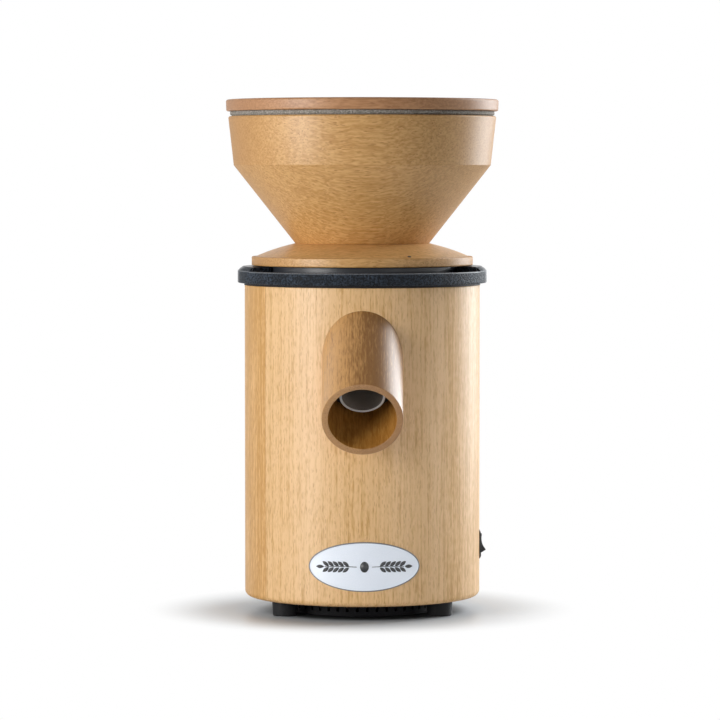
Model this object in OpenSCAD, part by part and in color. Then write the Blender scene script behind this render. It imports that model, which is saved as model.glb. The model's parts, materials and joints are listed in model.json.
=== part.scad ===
// Electric grain mill: a beech casing with a slanted flour spout, a turning beech hopper on a
// black top ring, and an upright motor that drives the lower of two grinding stones.
// Millimetres. The origin is on the floor, on the upright axis. The front is -Y, up is +Z.

/* [Casing] */
// Outer radius of the wooden casing
casing_r = 94; // [93:0.5:95]
// Thickness of the casing's wall
casing_wall = 12; // [11:0.5:12]
// Height of the casing's lower edge above the floor
casing_z0 = 11.7; // [11:0.1:12.5]
// Height of the casing from its lower to its upper edge
casing_h = 248.8; // [246:0.2:252]
// Rounding of the casing's lower outer edge
casing_foot_round = 4.5; // [2:0.5:4.5]

/* [Top ring] */
// Outer radius of the black top ring
ring_r = 99.6; // [99:0.2:101]
// Thickness of the gasket between the ring and the casing
gasket_t = 1.7; // [1.2:0.1:2]
// Height of the ring's rim in its low front sector
rim_h = 9.7; // [9:0.1:10.5]
// Height of the ring at its sides and back
wing_h = 13.2; // [12:0.1:13.3]
// Width of the sloping edge of the ring's raised part
wing_inset = 4.2; // [3:0.2:5]
// Angle from the middle of the low sector to each of its ends
low_sector = 67; // [50:1:75]
// Turn of the low sector's middle to the right of the front
ring_turn = 3; // [-5:0.5:5]

/* [Hopper] */
// Outer radius of the hopper's upper edge
hopper_top_r = 107; // [106:0.2:107.4]
// Outer radius where the hopper's band meets its cone
hopper_kink_r = 102.6; // [101:0.2:104]
// Outer radius of the hopper's neck
neck_r = 53.6; // [53:0.2:56]
// Height of the band above the cone
band_h = 39; // [35:0.5:45]
// Height of the cone
cone_h = 62.2; // [60:0.2:66]
// Difference between the hopper's outer and inner radius
hopper_wall = 10; // [9:0.5:11]
// Outer radius of the flange under the dome
flange_r = 88.4; // [88:0.2:89]
// Thickness of the flange
flange_t = 7.1; // [6.5:0.1:8]
// Radius of the dome where it meets the flange
dome_foot_r = 85.2; // [84:0.2:86]
// Height of the dome above the flange
dome_h = 10.4; // [9:0.1:11]
// Angle from the front to the setting mark
mark_angle = 26.5; // [10:0.5:45]

/* [Lid] */
// Outer radius of the lid
lid_r = 108.8; // [108:0.2:112]
// Thickness of the lid
lid_t = 9.2; // [8:0.2:12]
// Outer radius of the seal ring under the lid
seal_r = 105.5; // [104:0.5:106]
// Thickness of the seal ring
seal_t = 4; // [3:0.5:5]

/* [Spout] */
// Outer radius of the wooden spout
spout_r = 31.4; // [31:0.1:32]
// Radius of the spout's bore
spout_bore_r = 26.5; // [25:0.5:27]
// Height at which the spout's axis leaves the casing
spout_z = 198.2; // [197:0.2:200]
// Angle of the spout below the horizontal
spout_dip = 45; // [44:1:46]
// Angle of the mouth's outward direction below the horizontal
mouth_dip = 30; // [25:1:40]
// Length of the axis from the casing to the mouth
mouth_reach = 52.9; // [48:0.1:60]
// Outer radius of the inner outlet tube
tube_r = 17.7; // [17:0.1:18]
// Length of the axis from the casing to the end of the outlet tube
tube_reach = 30; // [20:1:34]

/* [Badge] */
// Width of the oval badge
badge_w = 86.5; // [60:0.5:92]
// Height of the oval badge
badge_h = 38.9; // [30:0.1:42]
// Height of the badge's centre above the floor
badge_z = 43.5; // [40:0.5:60]
// Thickness of the badge
badge_t = 1; // [0.6:0.1:1.5]
// Angle of the badge's centre to the right of the front
badge_angle = 1; // [-5:0.5:5]

/* [Milling] */
// Radius of the grinding stones
stone_r = 45; // [43:0.5:45.5]
// Radius of the eye in the upper stone
eye_r = 18; // [17:0.5:18]
// Gap between the stones as set
stone_gap = 0.35; // [0.3:0.05:0.6]
// Inner radius of the milling chamber
chamber_r = 58; // [57.5:0.5:58]

/* [Motor] */
// Outer radius of the stator and the end shields
motor_r = 50; // [49:0.5:50]
// Radius of the motor shaft
shaft_r = 7.5; // [7.5:0.1:7.6]
// Number of slots in the stator
stator_slots = 24; // [18:6:24]
// Radius of the cooling fan
fan_r = 42; // [38:1:42]
// Radius of the run capacitor
capacitor_r = 14.5; // [12:0.5:14.5]

/* [Switch] */
// Height of the switch's centre above the floor
switch_z = 52.3; // [50:0.1:60]
// Height of the switch's bezel
bezel_h = 22.2; // [22:0.1:24]
// Width of the switch's bezel
bezel_w = 15; // [15:0.5:17]
// Tilt of the rocker from its middle position
rocker_tilt = 14; // [8:1:14]

/* [Base] */
// Radius of the feet at the floor
foot_r = 9.8; // [9:0.1:10.4]
// Distance of each foot from the middle, left and right
foot_x = 61; // [58:0.5:62]
// Distance of each foot from the middle, front and back
foot_y = 45; // [44:0.5:47]
// Radius of the vent pan
pan_r = 60; // [58:0.5:61]
// Radius of the bore in the cable gland
gland_bore_r = 3.6; // [3:0.1:4]
// Height of the cable gland above the floor
gland_z = 32; // [31:0.5:40]

/* [Hidden] */
$fn = 96;

beech = [0.83, 0.64, 0.42];
beech_red = [0.74, 0.50, 0.35];
black = [0.10, 0.11, 0.12];
rubber_black = [0.06, 0.06, 0.06];
steel = [0.66, 0.67, 0.69];
aluminium = [0.75, 0.76, 0.77];
brass = [0.78, 0.62, 0.30];
copper = [0.72, 0.42, 0.24];
stone_grey = [0.80, 0.79, 0.75];
pale_grey = [0.74, 0.75, 0.76];

far = 400;            // longer than anything in the mill, for cutting tools
slip = 0.05;          // running clearance of pins and shafts
glue = 0.1;           // glue line around the spout
sit = 0.02;           // gap between pieces that are pressed or bonded together

casing_ri = casing_r - casing_wall;
casing_z1 = casing_z0 + casing_h;
rebate_r = casing_r - 5;                    // where the base plate sits
plate_z = casing_z0 + 1.3;                  // underside of the base plate
plate_t = 6;
plate_top = plate_z + plate_t;

ring_z = casing_z1 + gasket_t;              // underside of the ring's outer part
rim_z = ring_z + rim_h;
wing_z = ring_z + wing_h;
groove_z = ring_z + 4.8;                    // floor behind the rim
rim_t = 3;
spigot_r = casing_ri - 0.5;
spigot_z = casing_z1 - 6.5;
thread_bore_r = 66.3;
thread_seat_r = 70;

flange_z = wing_z + 0.7;
collar_r = 78;
well_r = collar_r + 1.6;                    // where the collar turns inside the ring
skirt_r = 66;
skirt_ri = 62;
thrust_r = 52;
neck_z = flange_z + flange_t + dome_h;
kink_z = neck_z + cone_h;
hopper_z1 = kink_z + band_h;
cone_run = (hopper_kink_r - neck_r) / cone_h;
socket_z = neck_z - 7.8;                    // where the hopper's spigot ends
spigot_wall_r = neck_r - 4.6;

holder_t = 6;
holder_z = spigot_z + 2;                    // underside of the stone holder
holder_top = holder_z + holder_t;
gap_z = spigot_z - 16;                      // upper face of the lower stone
cover_z = gap_z + 2;
cover_t = 6;
cover_r = 63.9;
chamber_flange_z = spigot_z - 6;
floor_z = gap_z - 28.5;                     // inside of the chamber's floor
floor_t = 6;
pin_circle_r = 54.5;
tube_wall = 1.9;
seal_seat = 12;                             // where the outlet seal starts inside the spout
tube_seat = -45;                            // where the outlet tube stops in the chamber

motor_z1 = floor_z - floor_t - 13.5;        // top of the upper end shield
shield_t = 6;
stator_z1 = motor_z1 - 32;
stator_z0 = stator_z1 - 76;
motor_z0 = stator_z0 - 32;
bolt_circle_r = motor_r - 4.5;
bearing_r = 17.5;
bearing_w = 11;
capacitor_x = 66;
clip_z = 96;
clip_angle = 15.5;                          // from the capacitor to each of its clip's screws
clip_seat_r = 81;
block_z = 62;
block_angle = 125;
pillar_circle_r = 43;
fan_z = motor_z0 - 17;
fan_h = 12;

hole_r = 2.6;                               // clearance hole for the M5 screws

function arc(c, r, a0, a1, n = 6) =
    [for (i = [0:n]) c + r * [cos(a0 + (a1 - a0) * i / n), sin(a0 + (a1 - a0) * i / n)]];

// A closed loop that rounds all four corners of a ring's section
function round_section(r0, r1, z0, z1, f) = concat(
    arc([r1 - f, z0 + f], f, -90, 0, 4), arc([r1 - f, z1 - f], f, 0, 90, 4),
    arc([r0 + f, z1 - f], f, 90, 180, 4), arc([r0 + f, z0 + f], f, 180, 270, 4));

// A smooth line through the points p, with n steps between two points
function smooth_line(p, n = 4) = [for (i = [0:len(p) - 2]) for (k = [0:(i == len(p) - 2 ? n : n - 1)])
    let (t = k / n, a = p[max(i - 1, 0)], b = p[i], c = p[i + 1], d = p[min(i + 2, len(p) - 1)])
    0.5 * (2 * b + (c - a) * t + (2 * a - 5 * b + 4 * c - d) * t * t
        + (3 * b - a - 3 * c + d) * t * t * t)];

function unit(v) = v / norm(v);

function heading(p, i) = unit(p[min(i + 1, len(p) - 1)] - p[max(i - 1, 0)]);

// A round tube of radius r along the points p
module wire(p, r, sides = 8) {
    skew = [0.31, 0.47, 0.83];
    n = len(p);
    rings = [for (i = [0:n - 1])
        let (t = heading(p, i), u = unit(cross(t, skew)), v = cross(t, u))
        for (k = [0:sides - 1]) p[i] + r * (cos(360 * k / sides) * u + sin(360 * k / sides) * v)];
    walls = [for (i = [0:n - 2]) for (k = [0:sides - 1]) for (half = [0, 1])
        let (a = i * sides + k, b = i * sides + (k + 1) % sides)
        half == 0 ? [a, a + sides, b + sides] : [a, b + sides, b]];
    first = [for (k = [0:sides - 1]) k];
    last = [for (k = [sides - 1:-1:0]) (n - 1) * sides + k];
    polyhedron(points = rings, faces = concat(walls, [first, last]));
}

module lathe(points) {
    rotate_extrude() polygon(points);
}

module ring_solid(r0, r1, z0, z1) {
    lathe([[r0, z0], [r1, z0], [r1, z1], [r0, z1]]);
}

module drum(r, z0, z1) {
    translate([0, 0, z0]) cylinder(r = r, h = z1 - z0);
}

// Children repeated n times on a circle, each facing outwards along X
module around(n, r, first = 0) {
    for (i = [0:n - 1])
        rotate([0, 0, first + 360 * i / n]) translate([r, 0, 0]) children();
}

// A screw that points up from z, with its head below z and a hexagon socket
module screw_up(r, z, length, head_r, head_h) {
    drum(r, z, z + length);
    difference() {
        drum(head_r, z - head_h, z);
        translate([0, 0, z - head_h - 1]) cylinder(r = head_r / 2, h = head_h * 0.6 + 1, $fn = 6);
    }
}

// The same screw pointing down from z, with its head above z
module screw_down(r, z, length, head_r, head_h) {
    translate([0, 0, 2 * z]) mirror([0, 0, 1]) screw_up(r, z, length, head_r, head_h);
}

// The spout's axis: local Z runs down and forward from the casing's face
module on_spout() {
    translate([0, -casing_r, spout_z]) rotate([90 + spout_dip, 0, 0]) children();
}

module spout_rod(r, from, to) {
    on_spout() drum(r, from, to);
}

// ---------------------------------------------------------------- casing and spout

module casing() {
    outline = concat(
        [[casing_ri, plate_top], [rebate_r, plate_top], [rebate_r, casing_z0]],
        arc([casing_r - casing_foot_round, casing_z0 + casing_foot_round], casing_foot_round, -90, 0),
        arc([casing_r - 0.6, casing_z1 - 0.6], 0.6, 0, 90, 3),
        [[casing_ri, casing_z1]]);
    color(beech) difference() {
        lathe(outline);
        spout_rod(spout_r + glue, -60, 60);
        switch_opening();
        gland_opening();
        around(6, 85) drum(1.7, plate_top - 1, plate_top + 14.5);
        around(4, 85, 45) drum(2.02, casing_z1 - 20, casing_z1 + 1);
        at_wall_screws() drum(1.52, 0, 12);
    }
}

module switch_opening() {
    translate([casing_ri - 10, -6.5, switch_z - 9.5]) cube([30, 13, 19]);
    translate([casing_r - 1, -bezel_w / 2 - 0.4, switch_z - bezel_h / 2 - 0.3])
        cube([10, bezel_w + 0.8, bezel_h + 0.6]);
}

module gland_opening() {
    translate([0, 0, gland_z]) rotate([-90, 0, 0]) {
        drum(6.4, casing_ri - 10, casing_r + 5);
        drum(10.6, casing_r - 0.5, casing_r + 5);
        drum(11, casing_ri - 10, casing_ri + 0.6);
    }
}

module spout() {
    color(beech) difference() {
        spout_rod(spout_r, -62, 90);
        spout_rod(spout_bore_r, -63, 91);
        drum(casing_ri, spout_z - 60, spout_z + 80);
        mouth_cut();
    }
}

// Everything beyond the plane of the mouth
module mouth_cut() {
    on_spout() translate([0, 0, mouth_reach])
        rotate([mouth_dip - spout_dip, 0, 0]) translate([-60, -60, 0]) cube([120, 120, 80]);
}

// The inner end is cut flush with the chamber's wall, clear of the wipers
module outlet_tube() {
    color(pale_grey) difference() {
        spout_rod(tube_r, tube_seat, tube_reach);
        spout_rod(tube_r - tube_wall, tube_seat - 1, tube_reach + 1);
        drum(chamber_r + 0.3, floor_z - 20, spigot_z);
    }
}

// Keeps the flour out of the casing
module outlet_seal() {
    color(rubber_black) difference() {
        spout_rod(spout_bore_r - slip, seal_seat, seal_seat + 6);
        spout_rod(tube_r + slip, seal_seat - 1, seal_seat + 7);
    }
}

module badge() {
    oval = [for (a = [0:5:355]) [badge_w / 2 * cos(a), badge_h / 2 * sin(a)]];
    color("white") rotate([0, 0, badge_angle]) intersection() {
        ring_solid(casing_r + sit, casing_r + badge_t, badge_z - 30, badge_z + 30);
        translate([0, 0, badge_z]) rotate([90, 0, 0]) linear_extrude(casing_r + 10) polygon(oval);
    }
}

// ---------------------------------------------------------------- top ring

module ring_gasket() {
    color(rubber_black) difference() {
        ring_solid(casing_ri, casing_r + 0.4, casing_z1, ring_z);
        around(4, 85, 45) drum(2.1, casing_z1 - 1, ring_z + 1);
    }
}

module top_ring() {
    raised = concat(
        [[thread_seat_r, spigot_z], [spigot_r, spigot_z], [spigot_r, ring_z]],
        arc([ring_r - 0.8, ring_z + 0.8], 0.8, -90, 0, 3),
        arc([ring_r - 0.8, rim_z - 0.8], 0.8, 0, 45, 3),
        [[ring_r - wing_inset, wing_z], [well_r, wing_z], [well_r, groove_z],
            [thread_seat_r, groove_z]]);
    above_rim = concat(
        [[well_r - 1, groove_z], [ring_r - rim_t, groove_z]],
        arc([ring_r - rim_t + 0.5, rim_z - 0.5], 0.5, 180, 90, 2),
        [[ring_r + 1, rim_z], [ring_r + 1, wing_z + 5], [well_r - 1, wing_z + 5]]);
    color(black) difference() {
        lathe(raised);
        rotate([0, 0, ring_turn - 90 - low_sector])
            rotate_extrude(angle = 2 * low_sector) polygon(above_rim);
        around(4, 85, 45) drum(2.1, spigot_z, wing_z);
        around(4, 85, 45) drum(3.6, groove_z, wing_z + 1);
        around(6, 75) drum(2.52, spigot_z - 1, spigot_z + 10);
    }
}

module thread_ring() {
    color(brass) ring_solid(thread_bore_r, thread_seat_r - sit, spigot_z, groove_z - 1);
}

// Wood screws that hold the ring to the casing's upper edge, hidden under the flange
module ring_screws() {
    color(steel) around(4, 85, 45) screw_down(2, groove_z, groove_z - casing_z1 + 18, 3.4, 2.6);
}

// ---------------------------------------------------------------- milling chamber

module milling_chamber() {
    wall = [[14.2, floor_z - floor_t], [62, floor_z - floor_t], [62, gap_z - 8], [68, gap_z - 2],
        [68, chamber_flange_z], [spigot_r, chamber_flange_z], [spigot_r, spigot_z],
        [64, spigot_z], [64, cover_z], [chamber_r, cover_z], [chamber_r, floor_z],
        [14.2, floor_z]];
    color(aluminium) difference() {
        union() {
            lathe(wall);
            outlet_boss();
            around(4, pillar_circle_r, 45) drum(5.5, motor_z1, floor_z - floor_t + 1);
        }
        intersection() {
            spout_rod(tube_r - tube_wall, -80, tube_seat + 1);
            drum(far, floor_z, cover_z - 1);
        }
        spout_rod(tube_r + sit, tube_seat, -10);
        around(4, pillar_circle_r, 45) {
            drum(hole_r, motor_z1 - 1, floor_z + 1);
            drum(5, floor_z - 3, floor_z + 1);
        }
        around(6, 75) drum(hole_r, chamber_flange_z - 1, spigot_z + 1);
        around(3, 61, 30) drum(1.52, cover_z - 10, cover_z + 1);
    }
}

// The socket for the outlet tube, trimmed so that the chamber still drops into the casing
module outlet_boss() {
    difference() {
        intersection() {
            spout_rod(tube_r + 3.3, -62, -20);
            drum(casing_ri - 2, floor_z - 20, chamber_flange_z - 0.1);
        }
        drum(chamber_r, floor_z - 20, spigot_z);
        drum(64, cover_z, spigot_z);
        drum(61, floor_z - 20, floor_z - 1);
    }
}

// Screws from below that hang the chamber from the ring
module chamber_screws() {
    color(steel) around(6, 75) screw_up(2.5, chamber_flange_z, 15, 4.3, 4.5);
}

// Screws from inside the chamber that hang the motor under it
module motor_hanger_screws() {
    color(steel) around(4, pillar_circle_r, 45) screw_down(2.5, floor_z - 3, 22, 4.6, 2.6);
}

module chamber_cover() {
    color(aluminium) difference() {
        ring_solid(stone_r + 3.5, cover_r, cover_z, cover_z + cover_t);
        around(3, pin_circle_r) drum(2.5 + slip, cover_z - 1, cover_z + cover_t + 1);
        around(3, 61, 30) drum(1.6, cover_z - 1, cover_z + cover_t + 1);
        around(3, 61, 30) drum(2.8, cover_z + 4, cover_z + cover_t + 1);
    }
}

module cover_screws() {
    color(steel) around(3, 61, 30) screw_down(1.5, cover_z + 4, 13, 2.7, 2);
}

module shaft_seal() {
    lip = [[shaft_r + 2, floor_z - floor_t], [14.18, floor_z - floor_t], [14.18, floor_z],
        [shaft_r + 2.5, floor_z], [shaft_r + slip, floor_z - 1.5], [shaft_r + slip, floor_z - 2],
        [shaft_r + 2, floor_z - 3]];
    color(rubber_black) lathe(lip);
}

// ---------------------------------------------------------------- motor

// An end shield standing on z = 0 with its bearing seat open towards +Z
module end_shield() {
    difference() {
        union() {
            drum(motor_r, 0, shield_t);
            ring_solid(motor_r - 4, motor_r, shield_t - 1, 32);
            drum(bearing_r + 3.5, shield_t - 1, 20);
            around(4, bolt_circle_r) intersection() {
                drum(4.5, shield_t - 1, 32);
                translate([-bolt_circle_r, 0, 0]) drum(motor_r, 0, 32);
            }
        }
        drum(9, -1, shield_t + 1);
        drum(bearing_r + slip, shield_t, 21);
        around(6, motor_r, 27) translate([-8, -8, 11]) cube([12, 16, 15]);
        around(4, bolt_circle_r) drum(2.1, -1, 33);
    }
}

module upper_shield() {
    color(aluminium) difference() {
        translate([0, 0, motor_z1]) mirror([0, 0, 1]) end_shield();
        around(4, pillar_circle_r, 45) drum(2.52, motor_z1 - shield_t - 1, motor_z1 + 1);
    }
}

module lower_shield() {
    color(aluminium) translate([0, 0, motor_z0]) end_shield();
}

module stator_core() {
    color(steel) difference() {
        ring_solid(29, motor_r, stator_z0, stator_z1);
        around(stator_slots, 28) translate([0, -1.7, stator_z0 - 1]) cube([13, 3.4, 78]);
        around(4, bolt_circle_r) drum(2.1, stator_z0 - 1, stator_z1 + 1);
    }
}

module windings() {
    color(copper) {
        around(stator_slots, 30.5) translate([0, -1.4, stator_z0 - 2]) cube([9.8, 2.8, 80]);
        lathe(round_section(30.5, 40.4, stator_z1 + 1, stator_z1 + 16, 3));
        lathe(round_section(30.5, 40.4, stator_z0 - 16, stator_z0 - 1, 3));
    }
}

module through_bolts() {
    color(steel) around(4, bolt_circle_r) {
        screw_down(2, motor_z1, motor_z1 - motor_z0 + 4.5, 3.5, 3.5);
        difference() {
            translate([0, 0, motor_z0 - 3.2]) cylinder(r = 3.9, h = 3.2, $fn = 6);
            drum(2.02, motor_z0 - 4, motor_z0 + 1);
        }
    }
}

module ball_bearing(z) {
    color(steel) {
        ring_solid(bearing_r - 2.8, bearing_r, z, z + bearing_w);
        ring_solid(shaft_r + slip, shaft_r + 2.6, z, z + bearing_w);
        around(8, (bearing_r + shaft_r) / 2 - 0.1) translate([0, 0, z + bearing_w / 2]) sphere(r = 2.2);
    }
}

module upper_bearing() {
    ball_bearing(motor_z1 - shield_t - bearing_w);
}

module lower_bearing() {
    ball_bearing(motor_z0 + shield_t);
}

module thermal_cutout() {
    color(pale_grey) rotate([0, 0, 30]) translate([32, -7, stator_z1 + 16.1]) cube([8, 14, 4.5]);
}

module run_capacitor() {
    can = [[0, 0], [capacitor_r - 1, 0], [capacitor_r, 1], [capacitor_r, 61], [capacitor_r - 2, 63],
        [capacitor_r - 2, 65], [0, 65]];
    color(pale_grey) translate([-capacitor_x, 0, 70]) {
        lathe(can);
        for (y = [-5, 5])
            translate([-3, y - 0.4, 64]) cube([6, 0.8, 9]);
    }
}

// The places of the wood screws in the casing's inner wall, with Z into the wood
module at_wall_screws() {
    for (side = [-1, 1]) {
        rotate([0, 0, 180 + side * clip_angle]) translate([clip_seat_r, 0, clip_z + 6])
            rotate([0, 90, 0]) children();
        rotate([0, 0, block_angle + side * 9]) translate([clip_seat_r, 0, block_z + 4])
            rotate([0, 90, 0]) children();
    }
}

module capacitor_clip() {
    color(steel) difference() {
        union() {
            translate([-capacitor_x, 0, 0])
                ring_solid(capacitor_r + slip, capacitor_r + 1, clip_z, clip_z + 12);
            intersection() {
                translate([-casing_r, -24, clip_z]) cube([casing_r - 75, 48, 12]);
                ring_solid(70, casing_ri - slip, clip_z, clip_z + 12);
            }
        }
        translate([-capacitor_x, 0, 0]) drum(capacitor_r + slip, clip_z - 1, clip_z + 13);
        at_wall_screws() {
            drum(1.6, -5, 12);
            drum(3.1, -10, -3);
        }
    }
}

module terminal_block() {
    color("ivory") difference() {
        rotate([0, 0, block_angle]) translate([67, -16, block_z]) difference() {
            cube([13.3, 32, 18]);
            for (y = [5.5:7:26.5])
                translate([6, y, 8]) cylinder(r = 2, h = 11);
        }
        at_wall_screws() {
            drum(1.6, -8, 12);
            drum(3.1, -20, -3);
        }
    }
}

// Four screws that hold the capacitor's clip and the terminal block
module wall_screws() {
    color(steel) at_wall_screws() difference() {
        union() {
            drum(1.5, -4, 11.5);
            drum(2.9, -5, -3);
        }
        translate([-4, -0.4, -6]) cube([8, 0.8, 2]);
    }
}

module internal_leads() {
    switch_in = [[67.2, 4, 51.7], [65.5, 4, 51.7], [61, 14, 48], [53, 38, 45], [34, 58, 43],
        [8, 67, 47], [-18, 70, 52], [-34, 65.5, 58], [-34, 65.5, 61.2]];
    switch_out = [[67.2, -4, 51.7], [66, -4, 51.5], [62.5, -2, 45], [60, 12, 40], [51, 36, 38],
        [33, 54, 37], [8, 63, 40], [-20, 65, 46], [-41, 61.5, 57], [-41, 61.5, 61.2]];
    motor_lead = [[-50, 54, 61.2], [-50, 54, 58], [-53, 45, 54], [-51, 36, 57], [-46, 30, 64],
        [-42, 27, 69], [-34.2, 22.2, 71]];
    start_lead = [[-66, -5, 143.2], [-65, -6, 149], [-60, -10, 153], [-56, -16, 146],
        [-55, -19, 120], [-54, -22, 90], [-50, -24, 74], [-44, -22, 70], [-36.4, -18.5, 71]];
    run_lead = [[-66, 5, 143.2], [-64, 8, 149], [-58, 16, 150], [-52, 28, 135], [-50, 38, 110],
        [-50, 48, 93], [-50.5, 53.8, 85], [-50.5, 53.8, 79]];
    color(black) for (route = [switch_in, switch_out, motor_lead, start_lead, run_lead])
        wire(smooth_line(route, 3), 1.3);
}

// ---------------------------------------------------------------- switch and cable gland

// The bezel slopes back to the casing at its upper and lower end
module switch_housing() {
    proud = casing_r + 1.2;
    end = bezel_h / 2;
    bezel = [[casing_r - 1, -end], [casing_r + 0.3, -end], [proud, 2 - end], [proud, end - 2],
        [casing_r + 0.3, end], [casing_r - 1, end]];
    color(black) difference() {
        union() {
            translate([0, bezel_w / 2, switch_z]) rotate([90, 0, 0])
                linear_extrude(bezel_w) polygon(bezel);
            translate([casing_r - 20, -6.3, switch_z - 9.3]) cube([20, 12.6, 18.6]);
            for (y = [-4, 0, 4])
                translate([casing_r - 26, y - 0.4, switch_z - 3]) cube([7, 0.8, 4.8]);
        }
        translate([casing_r - 14, -5.4, switch_z - 8.8]) cube([20, 10.8, 17.6]);
        translate([casing_r - 4, -10, switch_z]) rotate([-90, 0, 0]) cylinder(r = 1.5, h = 20);
    }
}

// A shallow V with raised tips, tilted so that its lower tip stands out
module rocker() {
    tip = [7.8, 6.4];
    hollow = arc([19.9, 0], 13.7, 180 - 26.5, 180 + 26.5, 8);
    outline = concat([[3.2, 7.9], tip], hollow, [[tip.x, -tip.y], [3.2, -7.9], [-2.6, -5.6],
        [-4.2, 0], [-2.6, 5.6]]);
    color(black) translate([casing_r - 4, 0, switch_z]) rotate([0, -rocker_tilt, 0]) {
        rotate([90, 0, 0]) translate([0, 0, -5.1]) linear_extrude(10.2) polygon(outline);
        rotate([-90, 0, 0]) drum(1.45, -6.2, 6.2);
    }
}

module cable_gland() {
    color(black) translate([0, 0, gland_z]) rotate([-90, 0, 0]) difference() {
        union() {
            drum(6.2, casing_ri - 5.5, casing_r);
            translate([0, 0, casing_r - 0.5]) cylinder(r = 10, h = 4.5, $fn = 6);
            lathe([[0, casing_r + 3], [8, casing_r + 3], [8, casing_r + 10], [6.5, casing_r + 12],
                [0, casing_r + 12]]);
        }
        drum(gland_bore_r, casing_ri - 10, casing_r + 20);
    }
}

module gland_nut() {
    color(black) translate([0, 0, gland_z]) rotate([-90, 0, 0]) difference() {
        translate([0, 0, casing_ri - 3.4]) cylinder(r = 10, h = 4, $fn = 6);
        drum(6.25, casing_ri - 5, casing_ri + 2);
    }
}

// ---------------------------------------------------------------- base, vent pan and feet

module at_feet() {
    for (x = [-foot_x, foot_x])
        for (y = [-foot_y, foot_y])
            translate([x, y, 0]) children();
}

module base_plate() {
    color(black) difference() {
        drum(rebate_r - 0.3, plate_z, plate_top);
        around(16, 15) translate([0, -2.5, plate_z - 1]) cube([29, 5, plate_t + 2]);
        around(6, 85) {
            drum(1.8, plate_z - 1, plate_top + 1);
            drum(3.4, plate_z - 1, plate_z + 2.5);
        }
        at_feet() drum(2.52, plate_z - 1, plate_top + 1);
        around(3, 52, 90) drum(1.52, plate_z - 1, plate_top + 1);
    }
}

module base_screws() {
    color(steel) around(6, 85) screw_up(1.65, plate_z + 2.5, 16.5, 3.3, 2.2);
}

module vent_pan() {
    floor_top = 3;
    color(black) difference() {
        union() {
            difference() {
                drum(pan_r, 0.8, plate_z);
                drum(pan_r - 2, floor_top, plate_z + 1);
            }
            around(3, 52, 90) drum(4, floor_top - 1, plate_z);
        }
        around(48, pan_r, 3.75) translate([-5, -1.1, 4.2]) cube([10, 2.2, plate_z - 6.4]);
        around(3, 52, 90) {
            drum(1.6, 0, plate_z + 1);
            drum(3.1, 0, 2.5);
        }
    }
}

module pan_screws() {
    color(steel) around(3, 52, 90) screw_up(1.5, 2.5, 15, 3, 1.5);
}

module feet() {
    color(rubber_black) at_feet() difference() {
        lathe(concat([[0, 0], [foot_r - 0.8, 0]], arc([foot_r - 0.8, 0.8], 0.8, -90, 0, 3),
            [[foot_r + 0.6, plate_z], [0, plate_z]]));
        drum(hole_r, -1, plate_z + 1);
        drum(5, -1, 6);
    }
}

module foot_screws() {
    color(steel) at_feet() screw_up(2.5, 6, plate_top - 6, 4.6, 3.4);
}

// ---------------------------------------------------------------- stone holder

module stone_holder() {
    color(aluminium) difference() {
        ring_solid(eye_r + 0.5, 60, holder_z, holder_top);
        around(3, pin_circle_r) drum(2.52, holder_z - 1, holder_top + 1);
    }
}

module upper_stone() {
    face = gap_z + stone_gap;
    color(stone_grey) difference() {
        lathe([[eye_r, face + 4], [eye_r + 12, face], [stone_r, face], [stone_r, holder_z],
            [eye_r, holder_z]]);
        furrows(face - 1, 2.2);
    }
}

// Straight furrows that run outwards, set off the middle as a miller dresses a stone
module furrows(z, depth) {
    around(8, 0, 11) translate([eye_r + 4, 6, z]) cube([stone_r, 3, depth]);
}

module guide_pins() {
    color(steel) around(3, pin_circle_r) drum(2.5, cover_z + 1, holder_top);
}

module holder_springs() {
    turns = 3.5;
    steps = 42;
    rise = holder_z - cover_z - cover_t - 1.2;
    coil = [for (i = [0:steps])
        [3.7 * cos(360 * turns * i / steps), 3.7 * sin(360 * turns * i / steps), rise * i / steps]];
    color(steel) around(3, pin_circle_r) translate([0, 0, cover_z + cover_t + 0.6]) wire(coil, 0.55, 6);
}

// ---------------------------------------------------------------- hopper

module hopper() {
    f = 1.2;
    inner_top = hopper_top_r - hopper_wall;
    inner_kink = hopper_kink_r - hopper_wall;
    inner_low = neck_r - hopper_wall;
    color(beech) lathe(concat(
        [[inner_low - cone_run * (neck_z - socket_z), socket_z], [spigot_wall_r, socket_z],
            [spigot_wall_r, neck_z], [neck_r, neck_z], [hopper_kink_r, kink_z]],
        arc([hopper_top_r - f, hopper_z1 - f], f, 0, 90, 4),
        arc([inner_top + f, hopper_z1 - f], f, 90, 180, 4),
        [[inner_kink, kink_z], [inner_low, neck_z]]));
}

module hopper_base() {
    f = 0.8;
    top = flange_z + flange_t;
    low_r = inner_cone_r(flange_z);
    foot = [dome_foot_r, top];
    crest = [neck_r - 0.2, neck_z];
    bulge = 0.8;
    half = norm(foot - crest) / 2;
    dome_r = (half * half + bulge * bulge) / (2 * bulge);
    across = unit(foot - crest);
    middle = (foot + crest) / 2 - (dome_r - bulge) * [-across.y, across.x];
    crest_a = atan2(crest.y - middle.y, crest.x - middle.x);
    foot_a = atan2(foot.y - middle.y, foot.x - middle.x);
    color(beech) difference() {
        lathe(concat([[low_r, flange_z]],
            arc([flange_r - f, flange_z + f], f, -90, 0, 3),
            arc([flange_r - f, top - f], f, 0, 90, 3),
            arc(middle, dome_r, foot_a, crest_a, 8),
            [[spigot_wall_r + sit, neck_z], [spigot_wall_r + sit, socket_z],
                [inner_cone_r(socket_z), socket_z]]));
        on_mark() drum(1.55, -6, 10);
        around(4, 72, 15) drum(1.72, flange_z - 1, flange_z + 7);
    }
}

// Inner radius of the funnel at height z, through the base and the collar
function inner_cone_r(z) = neck_r - hopper_wall - cone_run * (neck_z - z);

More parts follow.
